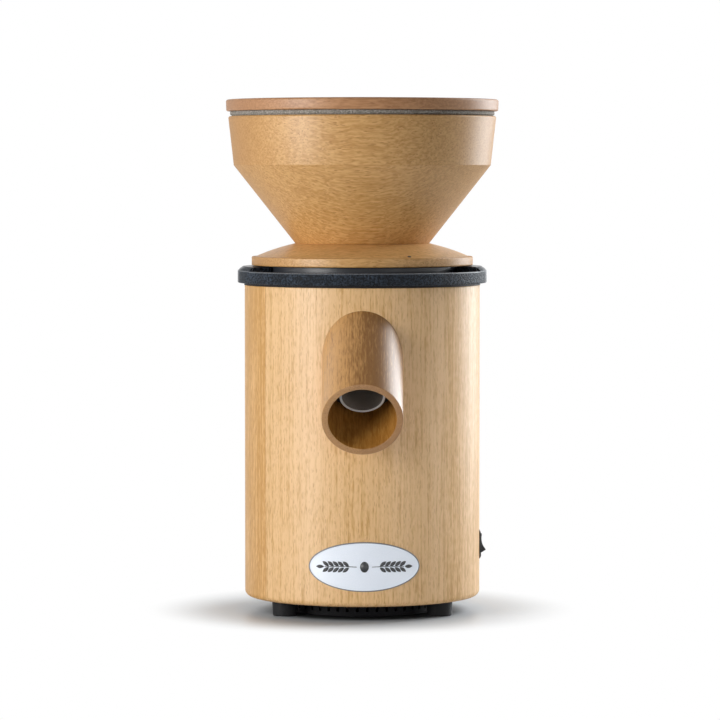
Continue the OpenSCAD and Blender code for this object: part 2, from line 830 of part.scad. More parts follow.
// The setting mark's place on the foot of the dome, with Z out of the wood
module on_mark() {
    rotate([0, 0, -90 + mark_angle]) translate([dome_foot_r - 3, 0, flange_z + flange_t + 1.1])
        rotate([0, 18, 0]) children();
}

module setting_mark() {
    color(rubber_black) on_mark() drum(1.5, -5, 0.3);
}

module hopper_collar() {
    foot_z = holder_top + 1.05;
    color(black) difference() {
        lathe([[eye_r + 3, foot_z], [thrust_r, foot_z], [thrust_r, groove_z + 1.2],
            [skirt_ri, groove_z + 1.2], [skirt_ri, spigot_z + 1.2], [skirt_r, spigot_z + 1.2],
            [skirt_r, groove_z + 1.2], [collar_r, groove_z + 1.2], [collar_r, flange_z - 0.6],
            [collar_r - 0.6, flange_z], [inner_cone_r(flange_z), flange_z]]);
        around(4, 72, 15) drum(2.1, groove_z, flange_z + 1);
        around(4, 72, 15) drum(3.6, groove_z, groove_z + 3.6);
    }
}

module thrust_washer() {
    color(brass) ring_solid(40, thrust_r, holder_top + slip, holder_top + 1.05);
}

module collar_screws() {
    color(steel) around(4, 72, 15) screw_up(1.7, groove_z + 3.6, 11, 3.4, 2.2);
}

// ---------------------------------------------------------------- lid

module lid_disc() {
    z0 = hopper_z1 + seal_t;
    f = 1.2;
    color(beech_red) lathe(concat([[0, z0]], arc([lid_r - f, z0 + f], f, -90, 0, 4),
        arc([lid_r - f, z0 + lid_t - f], f, 0, 90, 4), [[0, z0 + lid_t]]));
}

module lid_locator() {
    z1 = hopper_z1 + seal_t;
    r = hopper_top_r - hopper_wall - 4;
    color(beech) lathe([[0, z1 - 9], [r - 1, z1 - 9], [r, z1 - 8], [r, z1], [0, z1]]);
}

module lid_seal() {
    color(pale_grey) lathe(round_section(hopper_top_r - hopper_wall - 4 + sit, seal_r,
        hopper_z1, hopper_z1 + seal_t, 0.8));
}

// ---------------------------------------------------------------- rotor

module shaft() {
    top = gap_z + 8;
    color(steel) lathe([[0, fan_z - 3], [shaft_r - 1, fan_z - 3], [shaft_r, fan_z - 2],
        [shaft_r, gap_z - 21], [5, gap_z - 21], [5, top - 1], [4, top], [0, top]]);
}

module rotor_core() {
    color(steel) {
        ring_solid(shaft_r + sit, 28.5, stator_z0, stator_z1);
        ring_solid(20, 28, stator_z1, stator_z1 + 5);
        ring_solid(20, 28, stator_z0 - 5, stator_z0);
    }
}

module fan() {
    color(black) difference() {
        union() {
            drum(11, fan_z, fan_z + fan_h);
            drum(fan_r, fan_z + fan_h - 2, fan_z + fan_h);
            around(9, 10) translate([0, -1, fan_z + 1]) cube([fan_r - 11, 2, fan_h - 2]);
        }
        drum(shaft_r + sit, fan_z - 1, fan_z + fan_h + 1);
    }
}

module stone_carrier() {
    z = floor_z + 1;
    color(aluminium) difference() {
        union() {
            drum(50, z, z + 6);
            drum(8.98, z + 5, z + 11);
            around(3, 46.5) translate([0, -1.5, z]) cube([10.5, 3, 14]);
        }
        drum(shaft_r + sit, z - 1, z + 12);
        ring_solid(12, stone_r + 0.3, z + 6, z + 20);
    }
}

module lower_stone() {
    base = floor_z + 7;
    color(stone_grey) difference() {
        lathe([[9, base], [stone_r, base], [stone_r, gap_z], [stone_r - 13, gap_z],
            [15, gap_z - 5], [9, gap_z - 5]]);
        furrows(gap_z - 1.2, 2.2);
    }
}

// The nut that clamps the lower stone, with two slanted blades that draw the grain in
module feed_screw() {
    z = gap_z - 5;
    color(steel) difference() {
        union() {
            drum(14, z, z + 3);
            drum(8, z + 2, z + 20);
            translate([0, 0, z + 19]) cylinder(r = 7, h = 5, $fn = 6);
            around(2, 0) translate([5, 0, z + 11]) rotate([28, 0, 0])
                translate([0, -1.2, -9]) cube([10, 2.4, 18]);
        }
        drum(5.02, z - 1, z + 15);
    }
}

casing();
spout();
outlet_tube();
outlet_seal();
badge();
ring_gasket();
top_ring();
thread_ring();
ring_screws();
milling_chamber();
chamber_screws();
motor_hanger_screws();
chamber_cover();
cover_screws();
shaft_seal();
upper_shield();
lower_shield();
stator_core();
windings();
through_bolts();
upper_bearing();
lower_bearing();
thermal_cutout();
run_capacitor();
capacitor_clip();
terminal_block();
wall_screws();
internal_leads();
switch_housing();
cable_gland();
gland_nut();
base_plate();
base_screws();
vent_pan();
pan_screws();
feet();
foot_screws();
stone_holder();
upper_stone();
guide_pins();
holder_springs();
hopper();
hopper_base();
hopper_collar();
thrust_washer();
collar_screws();
setting_mark();
lid_disc();
lid_locator();
lid_seal();
shaft();
rotor_core();
fan();
stone_carrier();
lower_stone();
feed_screw();
rocker();
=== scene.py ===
"""Electric grain mill: turned beech pieces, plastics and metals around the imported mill.

Metres, in the mill's own frame: the origin is on the floor on the upright axis, the front is -Y.
"""

import json
import math

import bmesh
import bpy
from mathutils import Matrix, Vector
from mathutils.bvhtree import BVHTree


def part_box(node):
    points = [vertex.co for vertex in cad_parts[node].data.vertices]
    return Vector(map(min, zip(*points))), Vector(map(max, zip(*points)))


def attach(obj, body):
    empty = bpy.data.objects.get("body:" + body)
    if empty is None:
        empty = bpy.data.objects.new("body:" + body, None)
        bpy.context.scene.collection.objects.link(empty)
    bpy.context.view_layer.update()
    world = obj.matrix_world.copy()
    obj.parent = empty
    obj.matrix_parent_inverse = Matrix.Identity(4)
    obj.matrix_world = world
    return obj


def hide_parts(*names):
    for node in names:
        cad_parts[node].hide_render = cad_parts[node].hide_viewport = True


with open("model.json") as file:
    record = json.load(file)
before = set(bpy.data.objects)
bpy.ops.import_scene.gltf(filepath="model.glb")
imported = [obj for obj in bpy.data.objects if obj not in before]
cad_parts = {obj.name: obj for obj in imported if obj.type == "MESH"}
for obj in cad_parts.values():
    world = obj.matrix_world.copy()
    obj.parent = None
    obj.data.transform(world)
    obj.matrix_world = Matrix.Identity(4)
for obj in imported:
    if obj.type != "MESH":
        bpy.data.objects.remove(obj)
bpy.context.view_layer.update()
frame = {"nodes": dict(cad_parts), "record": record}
NODES = frame["nodes"]
MM = 0.001


# ---------------------------------------------------------------- sizes, some given and some taken from the frame


def radius_of(node):
    """Outer radius of a node that is round about the upright axis."""
    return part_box(node)[1].x


def height_of(node):
    """Lowest and highest point of a node."""
    low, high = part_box(node)
    return low.z, high.z


CASING_R = radius_of("ring_gasket") - 0.4 * MM
CASING_WALL = 12 * MM
SPOUT_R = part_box("spout")[1].x
SPOUT_BORE_R = 26.5 * MM
SPOUT_Z = 198.2 * MM
SPOUT_DIP = math.radians(45)
MOUTH_DIP = math.radians(30)
MOUTH_REACH = 52.9 * MM
HOPPER_TOP_R = radius_of("hopper")
HOPPER_WALL = 10 * MM
SOCKET_Z, HOPPER_Z1 = height_of("hopper")
KINK_R = 102.6 * MM
KINK_Z = HOPPER_Z1 - 39 * MM
FLANGE_R = radius_of("hopper_base")
FLANGE_Z, NECK_Z = height_of("hopper_base")
NECK_R = 53.6 * MM
SPIGOT_WALL_R = NECK_R - 4.6 * MM
FLANGE_T = 7.1 * MM
DOME_FOOT_R = 85.2 * MM
RING_R = radius_of("top_ring")
SPIGOT_Z, WING_Z = height_of("top_ring")
RING_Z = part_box("ring_gasket")[1].z
RIM_Z = RING_Z + 9.7 * MM
GROOVE_Z = RING_Z + 4.8 * MM
LOW_SECTOR = math.radians(67)
RING_TURN = math.radians(3)
COLLAR_R = radius_of("hopper_collar")
BADGE_LOW, BADGE_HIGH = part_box("badge")


# ---------------------------------------------------------------- shaping


def soften(corners, steps=5):
    """An outline with its corners rounded; a corner is (radius, height) or (radius, height, rounding)."""
    outline = []
    count = len(corners)
    for i, corner in enumerate(corners):
        here = Vector(corner[:2])
        if len(corner) == 2:
            outline.append(here)
            continue
        back = (Vector(corners[i - 1][:2]) - here).normalized()
        ahead = (Vector(corners[(i + 1) % count][:2]) - here).normalized()
        half_angle = back.angle(ahead) / 2
        reach = corner[2] / math.tan(half_angle)
        centre = here + (back + ahead).normalized() * corner[2] / math.sin(half_angle)
        first = here + back * reach - centre
        sweep = first.angle_signed(here + ahead * reach - centre)
        for k in range(steps + 1):
            outline.append(centre + Matrix.Rotation(-sweep * k / steps, 2) @ first)
    return outline


def bulged(a, b, bulge, steps=16):
    """Points between a and b on an arc that stands out by bulge, on the left of the way from a to b."""
    a, b = Vector(a), Vector(b)
    way = b - a
    left = Vector((-way.y, way.x)).normalized()
    points = []
    for k in range(1, steps):
        t = k / steps
        points.append(a + way * t + left * bulge * 4 * t * (1 - t))
    return points


def finished(name, bm, body, finish, stands_for=(), second_finish=None):
    """Turns a bmesh into a piece of the mill that rides on a body and has one or two finishes."""
    bmesh.ops.remove_doubles(bm, verts=bm.verts, dist=1e-7)
    bmesh.ops.recalc_face_normals(bm, faces=bm.faces)
    mesh = bpy.data.meshes.new(name)
    bm.to_mesh(mesh)
    bm.free()
    for face in mesh.polygons:
        face.use_smooth = True
    mesh.set_sharp_from_angle(angle=math.radians(32))
    piece = bpy.data.objects.new(name, mesh)
    bpy.context.scene.collection.objects.link(piece)
    mesh.materials.append(finish)
    if second_finish:
        mesh.materials.append(second_finish)
    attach(piece, body)
    if stands_for:
        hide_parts(*stands_for)
    return piece


def loops_to_faces(bm, loops, closed=True, second=()):
    """Bridges vertex loops with quads; second names the stretches that take the second finish."""
    count = len(loops)
    for i in range(count if closed else count - 1):
        a, b = loops[i], loops[(i + 1) % count]
        for k in range(len(a)):
            n = (k + 1) % len(a)
            corners = [a[k], a[n], b[n], b[k]]
            unique = list(dict.fromkeys(corners))
            if len(unique) > 2:
                bm.faces.new(unique).material_index = int(k in second)


def turned(name, outline, body, finish, stands_for=(), second=(), second_finish=None, segments=288):
    """A piece turned on a lathe; the outline is a closed loop of radius and height."""
    bm = bmesh.new()
    loops = []
    for k in range(segments):
        a = math.tau * k / segments
        loops.append([bm.verts.new((p[0] * math.cos(a), p[0] * math.sin(a), p[1])) for p in outline])
    loops_to_faces(bm, loops, second=second)
    return finished(name, bm, body, finish, stands_for, second_finish)


def softened(name, node, body, finish, width):
    """The CAD node's own shape with its edges broken by a small bevel."""
    bm = bmesh.new()
    bm.from_mesh(NODES[node].data)
    bmesh.ops.remove_doubles(bm, verts=bm.verts, dist=1e-6)
    bmesh.ops.dissolve_limit(bm, angle_limit=math.radians(1), verts=bm.verts, edges=bm.edges)
    piece = finished(name, bm, body, finish, [node])
    bevel = piece.modifiers.new("broken edges", "BEVEL")
    bevel.width = width
    bevel.segments = 2
    bevel.limit_method = "ANGLE"
    bevel.angle_limit = math.radians(38)
    bevel.harden_normals = True
    return piece


# ---------------------------------------------------------------- node tools


def place(tree, kind, inputs=None, **settings):
    """Adds a node, sets its properties and fills its inputs from values or other sockets."""
    made = tree.nodes.new(kind)
    for name, value in settings.items():
        setattr(made, name, value)
    for key, value in (inputs or {}).items():
        if isinstance(value, bpy.types.NodeSocket):
            tree.links.new(value, made.inputs[key])
        else:
            made.inputs[key].default_value = value
    return made


def calc(tree, operation, *values):
    inputs = dict(enumerate(values))
    return place(tree, "ShaderNodeMath", inputs, operation=operation).outputs[0]


def vector_calc(tree, operation, *values):
    inputs = dict(enumerate(values))
    return place(tree, "ShaderNodeVectorMath", inputs, operation=operation).outputs[0]


def remap(tree, value, low, high, to_low=0.0, to_high=1.0):
    inputs = {"Value": value, "From Min": low, "From Max": high, "To Min": to_low, "To Max": to_high}
    made = place(tree, "ShaderNodeMapRange", inputs, interpolation_type="SMOOTHSTEP")
    return made.outputs[0]


def mixed(tree, share, first, second, how="MIX"):
    inputs = {0: share, 6: first, 7: second}
    return place(tree, "ShaderNodeMix", inputs, data_type="RGBA", blend_type=how).outputs[2]


def noise(tree, position, scale, detail=3.0, stretch=(1, 1, 1)):
    """Soft noise from 0 to 1; stretch is how much finer it is along X, Y and Z."""
    vector = vector_calc(tree, "MULTIPLY", position, stretch)
    inputs = {"Vector": vector, "Scale": scale, "Detail": detail}
    return place(tree, "ShaderNodeTexNoise", inputs).outputs["Fac"]


def effect(name, inputs, outputs):
    """A shader node group with named inputs and outputs, and its two end nodes."""
    tree = bpy.data.node_groups.new(name, "ShaderNodeTree")
    for label, kind, value in inputs:
        made = tree.interface.new_socket(label, in_out="INPUT", socket_type="NodeSocket" + kind)
        if value is not None:
            made.default_value = value
    for label, kind in outputs:
        tree.interface.new_socket(label, in_out="OUTPUT", socket_type="NodeSocket" + kind)
    start = tree.nodes.new("NodeGroupInput").outputs
    end = tree.nodes.new("NodeGroupOutput").inputs
    return tree, start, end


SURFACE_OUTPUTS = [("Colour", "Color"), ("Roughness", "Float"), ("Height", "Float")]


# ---------------------------------------------------------------- effects


def make_beech_grain():
    """Beech with its grain along Z: streaks, growth rings, short dark flecks, darker end grain, and
    painted shade towards the right where Side tone is set.
    """
    tree, start, end = effect(
        "beech grain",
        [
            ("Position", "Vector", None),
            ("Facing along grain", "Float", 0.0),
            ("Light wood", "Color", (0.74, 0.50, 0.26, 1)),
            ("Dark wood", "Color", (0.58, 0.34, 0.15, 1)),
            ("Fleck", "Color", (0.36, 0.19, 0.085, 1)),
            ("End wood", "Color", (0.50, 0.28, 0.12, 1)),
            ("Pith", "Vector", (0.19, 0.24, 0.0)),
            ("Plank width", "Float", 0.14),
            ("Plank start", "Float", 0.076),
            ("Plank seed", "Float", 0.0),
            ("Plank tone", "Float", 0.16),
            ("Plank tint", "Float", 0.3),
            ("Side tone", "Float", 0.0),
            ("Fleck amount", "Float", 0.6),
            ("Fleck width", "Float", 0.0009),
            ("Ring amount", "Float", 0.35),
            ("Stripe amount", "Float", 1.0),
            ("Waviness", "Float", 0.001),
        ],
        SURFACE_OUTPUTS,
    )
    bent = place(tree, "ShaderNodeTexNoise", {"Vector": start["Position"], "Scale": 45.0, "Detail": 2.0})
    shift = vector_calc(tree, "SUBTRACT", bent.outputs["Color"], (0.5, 0.5, 0.5))
    shift = place(
        tree, "ShaderNodeVectorMath", {0: shift, "Scale": start["Waviness"]}, operation="SCALE"
    ).outputs[0]
    wavy = vector_calc(tree, "ADD", start["Position"], shift)

    # each plank has its own tone and its own piece of the tree
    x = place(tree, "ShaderNodeSeparateXYZ", {0: start["Position"]}).outputs["X"]
    along = calc(tree, "DIVIDE", calc(tree, "ADD", x, start["Plank start"]), start["Plank width"])
    plank = calc(tree, "FLOOR", along)
    seed = calc(tree, "ADD", plank, start["Plank seed"])
    own = place(tree, "ShaderNodeTexWhiteNoise", {"W": seed}, noise_dimensions="1D")
    offset = vector_calc(tree, "MULTIPLY", own.outputs["Color"], (0.05, 0.05, 0.7))
    in_plank = vector_calc(tree, "ADD", wavy, offset)
    tone = calc(tree, "MULTIPLY", calc(tree, "SUBTRACT", own.outputs["Value"], 0.5), 2.0)
    tone = calc(tree, "MULTIPLY", tone, start["Plank tone"])
    # painted shade: darker softly towards the right, by Side tone
    shade_to_right = remap(tree, x, -0.022, 0.014, -1.0, 1.0)
    tone = calc(tree, "MULTIPLY_ADD", shade_to_right, start["Side tone"], tone)
    yellow = place(tree, "ShaderNodeSeparateColor", {0: own.outputs["Color"]}).outputs["Green"]
    yellow = calc(tree, "MULTIPLY", yellow, start["Plank tint"])
    edge = calc(tree, "ABSOLUTE", calc(tree, "SUBTRACT", calc(tree, "FRACT", along), 0.5))
    joint = remap(tree, edge, 0.4978, 0.4992)

    # growth rings around a far pith
    year_width = 0.0034
    rough_line = noise(tree, in_plank, 14.0, 3.0, (1, 1, 0.12))
    flat = vector_calc(tree, "MULTIPLY", vector_calc(tree, "SUBTRACT", in_plank, start["Pith"]), (1, 1, 0))
    distance = place(tree, "ShaderNodeVectorMath", {0: flat}, operation="LENGTH").outputs["Value"]
    distance = calc(tree, "MULTIPLY_ADD", rough_line, 0.016, distance)
    year = calc(tree, "FRACT", calc(tree, "DIVIDE", distance, year_width))
    late = calc(tree, "MULTIPLY", remap(tree, year, 0.45, 0.9), remap(tree, year, 1.0, 0.93))
    ring = calc(tree, "MULTIPLY", late, start["Ring amount"])

    # layers along the grain, each of them one half on average
    streaks = noise(tree, in_plank, 150.0, 4.0, (1, 1, 0.04))
    clouds = noise(tree, in_plank, 9.0, 2.0, (1, 1, 0.3))
    dashes = noise(tree, in_plank, calc(tree, "DIVIDE", 0.7, start["Fleck width"]), 1.0, (1, 1, 0.2))
    stripes = noise(tree, in_plank, 620.0, 1.0, (1, 1, 0.025))
    fibre = noise(tree, in_plank, 1400.0, 2.0, (1, 1, 0.03))
    dark_share = tone
    for layer, weight in (
        (streaks, 0.6),
        (clouds, 0.4),
        (dashes, 1.4),
        (stripes, start["Stripe amount"]),
        (fibre, 0.5),
    ):
        dark_share = calc(tree, "MULTIPLY_ADD", layer, weight, dark_share)
    # without this excess the sum of the layers is one half on average, too
    excess = calc(tree, "MULTIPLY_ADD", start["Stripe amount"], 0.5, 0.95)
    dark_share = calc(tree, "SUBTRACT", dark_share, excess)
    dark_share = remap(tree, dark_share, 0.0, 1.0)
    dark_share = calc(tree, "ADD", dark_share, ring)
    dark_share = place(tree, "ShaderNodeClamp", {"Value": dark_share}).outputs[0]

    # short lens-shaped flecks, many of them faint
    cells = place(
        tree,
        "ShaderNodeTexVoronoi",
        {
            "Vector": vector_calc(tree, "MULTIPLY", in_plank, (1, 1, 0.2)),
            "Scale": calc(tree, "DIVIDE", 1.0, start["Fleck width"]),
        },
    )
    kept = place(tree, "ShaderNodeSeparateColor", {0: cells.outputs["Color"]})
    size = remap(tree, kept.outputs["Red"], 0.0, 1.0, 0.2, 0.55)
    fleck = remap(tree, calc(tree, "SUBTRACT", size, cells.outputs["Distance"]), 0.0, 0.22)
    depth = remap(tree, kept.outputs["Green"], 0.1, 1.0, 0.1, 1.0)
    fleck = calc(tree, "MULTIPLY", fleck, depth)
    fleck_share = calc(tree, "MULTIPLY", fleck, start["Fleck amount"])

    end_grain = remap(tree, start["Facing along grain"], 0.55, 0.98)
    colour = mixed(tree, dark_share, start["Light wood"], start["Dark wood"])
    colour = mixed(tree, yellow, colour, (0.96, 0.84, 0.58, 1), "MULTIPLY")
    colour = mixed(tree, calc(tree, "MULTIPLY", end_grain, 0.6), colour, start["End wood"])
    colour = mixed(tree, fleck_share, colour, start["Fleck"])
    colour = mixed(tree, calc(tree, "MULTIPLY", joint, 0.35), colour, start["Fleck"])
    rough = calc(tree, "MULTIPLY_ADD", fibre, 0.16, 0.3)
    rough = calc(tree, "MULTIPLY_ADD", end_grain, 0.12, rough)
    height = calc(tree, "MULTIPLY_ADD", fleck, -0.45, calc(tree, "MULTIPLY", fibre, 0.5))
    height = calc(tree, "MULTIPLY_ADD", stripes, 0.6, height)
    tree.links.new(colour, end["Colour"])
    tree.links.new(rough, end["Roughness"])
    tree.links.new(height, end["Height"])
    return tree


def make_moulded_skin():
    """The fine etched skin of a moulded plastic or rubber piece."""
    tree, start, end = effect(
        "moulded skin",
        [
            ("Position", "Vector", None),
            ("Base", "Color", (0.03, 0.032, 0.036, 1)),
            ("Highlights", "Color", (0.06, 0.066, 0.075, 1)),
            ("Grain size", "Float", 0.0006),
            ("Mean roughness", "Float", 0.5),
        ],
        SURFACE_OUTPUTS,
    )
    scale = calc(tree, "DIVIDE", 1.0, start["Grain size"])
    fine = place(tree, "ShaderNodeTexNoise", {"Vector": start["Position"], "Scale": scale, "Detail": 2.0})
    patches = noise(tree, start["Position"], 70.0, 3.0)
    grain = remap(tree, fine.outputs["Fac"], 0.36, 0.64)
    share = calc(tree, "MULTIPLY", grain, remap(tree, patches, 0.3, 0.7, 0.45, 1.0))
    rough = calc(tree, "MULTIPLY_ADD", patches, 0.16, start["Mean roughness"])
    tree.links.new(mixed(tree, share, start["Base"], start["Highlights"]), end["Colour"])
    tree.links.new(calc(tree, "SUBTRACT", rough, 0.08), end["Roughness"])
    tree.links.new(grain, end["Height"])
    return tree


def make_metal_skin():
    """Metal with cast mottling or fine tool marks that run round the upright axis."""
    tree, start, end = effect(
        "metal skin",
        [
            ("Position", "Vector", None),
            ("Base", "Color", (0.62, 0.63, 0.65, 1)),
            ("Shade", "Color", (0.42, 0.43, 0.45, 1)),
            ("Mean roughness", "Float", 0.35),
            ("Mottle", "Float", 0.5),
            ("Tool marks", "Float", 0.5),
        ],
        SURFACE_OUTPUTS,
    )
    mottle = noise(tree, start["Position"], 380.0, 4.0)
    marks = noise(tree, start["Position"], 30.0, 3.0, (1, 1, 120))
    stains = noise(tree, start["Position"], 26.0, 4.0)
    height = calc(tree, "MULTIPLY", mottle, start["Mottle"])
    height = calc(tree, "ADD", height, calc(tree, "MULTIPLY", marks, start["Tool marks"]))
    share = calc(tree, "MULTIPLY_ADD", height, 0.55, remap(tree, stains, 0.4, 0.75, 0.0, 0.35))
    rough = calc(tree, "MULTIPLY_ADD", stains, 0.24, start["Mean roughness"])
    tree.links.new(mixed(tree, share, start["Base"], start["Shade"]), end["Colour"])
    tree.links.new(calc(tree, "SUBTRACT", rough, 0.12), end["Roughness"])
    tree.links.new(height, end["Height"])
    return tree


def make_speckle():
    """Small grains of two other tones in a base, as in felted foam or bonded stone."""
    tree, start, end = effect(
        "speckle",
        [
            ("Position", "Vector", None),
            ("Base", "Color", (0.5, 0.5, 0.48, 1)),
            ("Pale grain", "Color", (0.8, 0.8, 0.78, 1)),
            ("Dark grain", "Color", (0.2, 0.19, 0.18, 1)),
            ("Grain size", "Float", 0.0008),
        ],
        SURFACE_OUTPUTS,
    )
    scale = calc(tree, "DIVIDE", 1.0, start["Grain size"])
    cells = place(tree, "ShaderNodeTexVoronoi", {"Vector": start["Position"], "Scale": scale})
    pick = place(tree, "ShaderNodeSeparateColor", {0: cells.outputs["Color"]})
    pale = remap(tree, pick.outputs["Red"], 0.6, 0.8)
    dark = remap(tree, pick.outputs["Green"], 0.75, 0.9)
    clouds = noise(tree, start["Position"], 60.0, 3.0)
    colour = mixed(tree, pale, start["Base"], start["Pale grain"])
    colour = mixed(tree, dark, colour, start["Dark grain"])
    tree.links.new(mixed(tree, calc(tree, "MULTIPLY", clouds, 0.3), colour, start["Base"]), end["Colour"])
    tree.links.new(remap(tree, cells.outputs["Distance"], 0.0, 0.8, 0.75, 0.95), end["Roughness"])
    tree.links.new(calc(tree, "SUBTRACT", 1.0, cells.outputs["Distance"]), end["Height"])
    return tree


BEECH_GRAIN = make_beech_grain()
MOULDED_SKIN = make_moulded_skin()
METAL_SKIN = make_metal_skin()
SPECKLE = make_speckle()


# ---------------------------------------------------------------- materials


def satin_gloss(tree, head_on, edge_on, starts=0.25, ends=0.8):
    """The weight of a thin oil or wax coat where the surface faces the eye and where it turns away."""
    turned_away = place(tree, "ShaderNodeLayerWeight", {"Blend": 0.5}).outputs["Facing"]
    return remap(tree, turned_away, starts, ends, head_on, edge_on)


def finish_from(name, skin, values, bump, rotation=(0, 0, 0), metallic=0.0, satin=None, **shader_values):
    """A material whose colour, roughness and relief come from one of the effects above."""
    material = bpy.data.materials.new(name)
    material.use_nodes = True
    tree = material.node_tree
    tree.nodes.clear()
    place_on = place(tree, "ShaderNodeTexCoord")
    turned_to_grain = place(
        tree, "ShaderNodeMapping", {"Vector": place_on.outputs["Object"], "Rotation": rotation}
    )
    inputs = {"Position": turned_to_grain.outputs[0], **values}
    surface = tree.nodes.new("ShaderNodeGroup")
    surface.node_tree = skin
    for key, value in inputs.items():
        if isinstance(value, bpy.types.NodeSocket):
            tree.links.new(value, surface.inputs[key])
        else:
            surface.inputs[key].default_value = value
    if "Facing along grain" in surface.inputs:
        facing = place(
            tree, "ShaderNodeMapping", {"Vector": place_on.outputs["Normal"], "Rotation": rotation}
        )
        parts = place(tree, "ShaderNodeSeparateXYZ", {0: facing.outputs[0]})
        tree.links.new(calc(tree, "ABSOLUTE", parts.outputs["Z"]), surface.inputs["Facing along grain"])
    relief = place(
        tree, "ShaderNodeBump", {"Height": surface.outputs["Height"], "Strength": 1.0, "Distance": bump}
    )
    shader = place(
        tree,
        "ShaderNodeBsdfPrincipled",
        {
            "Base Color": surface.outputs["Colour"],
            "Roughness": surface.outputs["Roughness"],
            "Normal": relief.outputs[0],
            "Metallic": metallic,
        },
    )
    for key, value in shader_values.items():
        shader.inputs[key.replace("_", " ")].default_value = value
    if satin:
        tree.links.new(satin_gloss(tree, *satin), shader.inputs["Coat Weight"])
    output = tree.nodes.new("ShaderNodeOutputMaterial")
    tree.links.new(shader.outputs[0], output.inputs["Surface"])
    return material


GRAIN_UPRIGHT = (0, 0, 0)
GRAIN_SIDEWAYS = (0, math.radians(90), 0)
GRAIN_DOWN_SPOUT = (SPOUT_DIP, 0, 0)
# this seed gives a pale plank in front, with a darker yellow one on its left
PALE_MIDDLE_PLANK = 1311.0
# a plank wider than any piece, with the piece in its middle, so that no glue joint shows
ONE_PLANK = {"Plank_width": 1.0, "Plank_start": 0.5}


def beech(name, rotation, bump=0.00018, satin=(0.8, 0.35), polish=0.4, coat_ior=1.5, **values):
    """Beech under a thin coat; polish is how rough the coat is, and values go to the grain."""
    named = {key.replace("_", " "): value for key, value in values.items()}
    gloss = {"satin": satin, "Coat_Roughness": polish, "Coat_IOR": coat_ior, "Specular_IOR_Level": 0.0}
    return finish_from(name, BEECH_GRAIN, named, bump, rotation, **gloss)


def moulded(name, base, highlights, bump, grain=0.0006, roughness=0.5, **shader_values):
    """Plastic, rubber, enamel or print: a base colour with paler grains of one size on it."""
    values = {
        "Base": (*base, 1),
        "Highlights": (*highlights, 1),
        "Grain size": grain,
        "Mean roughness": roughness,
    }
    return finish_from(name, MOULDED_SKIN, values, bump, **shader_values)


def metal(name, bump, **values):
    """Bare or coated metal; values go to its skin."""
    named = {key.replace("_", " "): value for key, value in values.items()}
    return finish_from(name, METAL_SKIN, named, bump, metallic=1.0)


CASING_BEECH = beech(
    "oiled beech, upright",
    GRAIN_UPRIGHT,
    bump=0.0003,
    satin=(1.0, 0.8),
    Light_wood=(0.735, 0.475, 0.235, 1),
    Dark_wood=(0.52, 0.29, 0.088, 1),
    Fleck=(0.36, 0.16, 0.035, 1),
    Plank_seed=PALE_MIDDLE_PLANK,
    Plank_tone=0.3,
    Plank_tint=0.6,
    Fleck_amount=0.42,
    Ring_amount=0.12,
    Stripe_amount=1.7,
)
# its Side_tone paints shade on the spout, darker softly towards its right
SPOUT_BEECH = beech(
    "polished beech, spout",
    GRAIN_DOWN_SPOUT,
    bump=0.0004,
    satin=(0.3, 1.0, 0.18, 0.55),
    polish=0.39,
    coat_ior=1.75,
    Light_wood=(0.56, 0.305, 0.110, 1),
    Dark_wood=(0.285, 0.135, 0.042, 1),
    Fleck=(0.18, 0.07, 0.02, 1),
    End_wood=(0.40, 0.225, 0.115, 1),
    Plank_tone=0.0,
    Side_tone=0.38,
    Fleck_amount=0.35,
    Ring_amount=0.1,
    **ONE_PLANK,
)
# the bore is darker than the spout's outside: partly unoiled wood and partly painted shade inside the bore
SPOUT_BORE_SHADED_BEECH = beech(
    "raw beech, bore with painted shade",
    GRAIN_DOWN_SPOUT,
    satin=(0.0, 0.15),
    Light_wood=(0.38, 0.18, 0.042, 1),
    Dark_wood=(0.25, 0.105, 0.018, 1),
    Fleck=(0.12, 0.05, 0.012, 1),
    Fleck_amount=0.3,
    Ring_amount=0.1,
    **ONE_PLANK,
)
# the figure that the bowl, the flange and the dome share
HOPPER_GRAIN = {
    **ONE_PLANK,
    "Fleck": (0.27, 0.11, 0.018, 1),
    "Pith": (0.02, 0.5, 0.0),
    "Fleck_amount": 0.6,
    "Fleck_width": 0.0010,
    "Ring_amount": 0.14,
    "Waviness": 0.006,
}
HOPPER_BEECH = beech(
    "oiled beech, lying",
    GRAIN_SIDEWAYS,
    satin=(0.9, 0.62),
    Light_wood=(0.65, 0.38, 0.150, 1),
    Dark_wood=(0.48, 0.25, 0.075, 1),
    End_wood=(0.38, 0.19, 0.066, 1),
    **HOPPER_GRAIN,
)
# painted light: the dome is the flange's own wood in paler colours, for the light and sheen on its upward
# face
DOME_LIT_BEECH = beech(
    "oiled beech, dome painted lighter",
    GRAIN_SIDEWAYS,
    satin=(1.0, 1.0),
    Light_wood=(0.76, 0.47, 0.200, 1),
    Dark_wood=(0.58, 0.33, 0.115, 1),
    End_wood=(0.62, 0.37, 0.180, 1),
    **HOPPER_GRAIN,
)
LID_BEECH = beech(
    "oiled beech, reddish",
    GRAIN_SIDEWAYS,
    satin=(0.8, 0.7),
    Light_wood=(0.50, 0.262, 0.125, 1),
    Dark_wood=(0.37, 0.175, 0.075, 1),
    Fleck=(0.23, 0.095, 0.035, 1),
    End_wood=(0.36, 0.185, 0.090, 1),
    Pith=(0.3, 0.1, 0.0),
    Fleck_amount=0.5,
    Fleck_width=0.0010,
    Ring_amount=0.15,
    **ONE_PLANK,
)
RING_PLASTIC = moulded(
    "etched black plastic",
    base=(0.002, 0.003, 0.005),
    highlights=(0.038, 0.052, 0.073),
    bump=0.0005,
    grain=0.0014,
    roughness=0.55,
    satin=(0.0, 1.0, 0.8, 0.97),
    Specular_IOR_Level=0.15,
    Coat_Roughness=0.35,
)
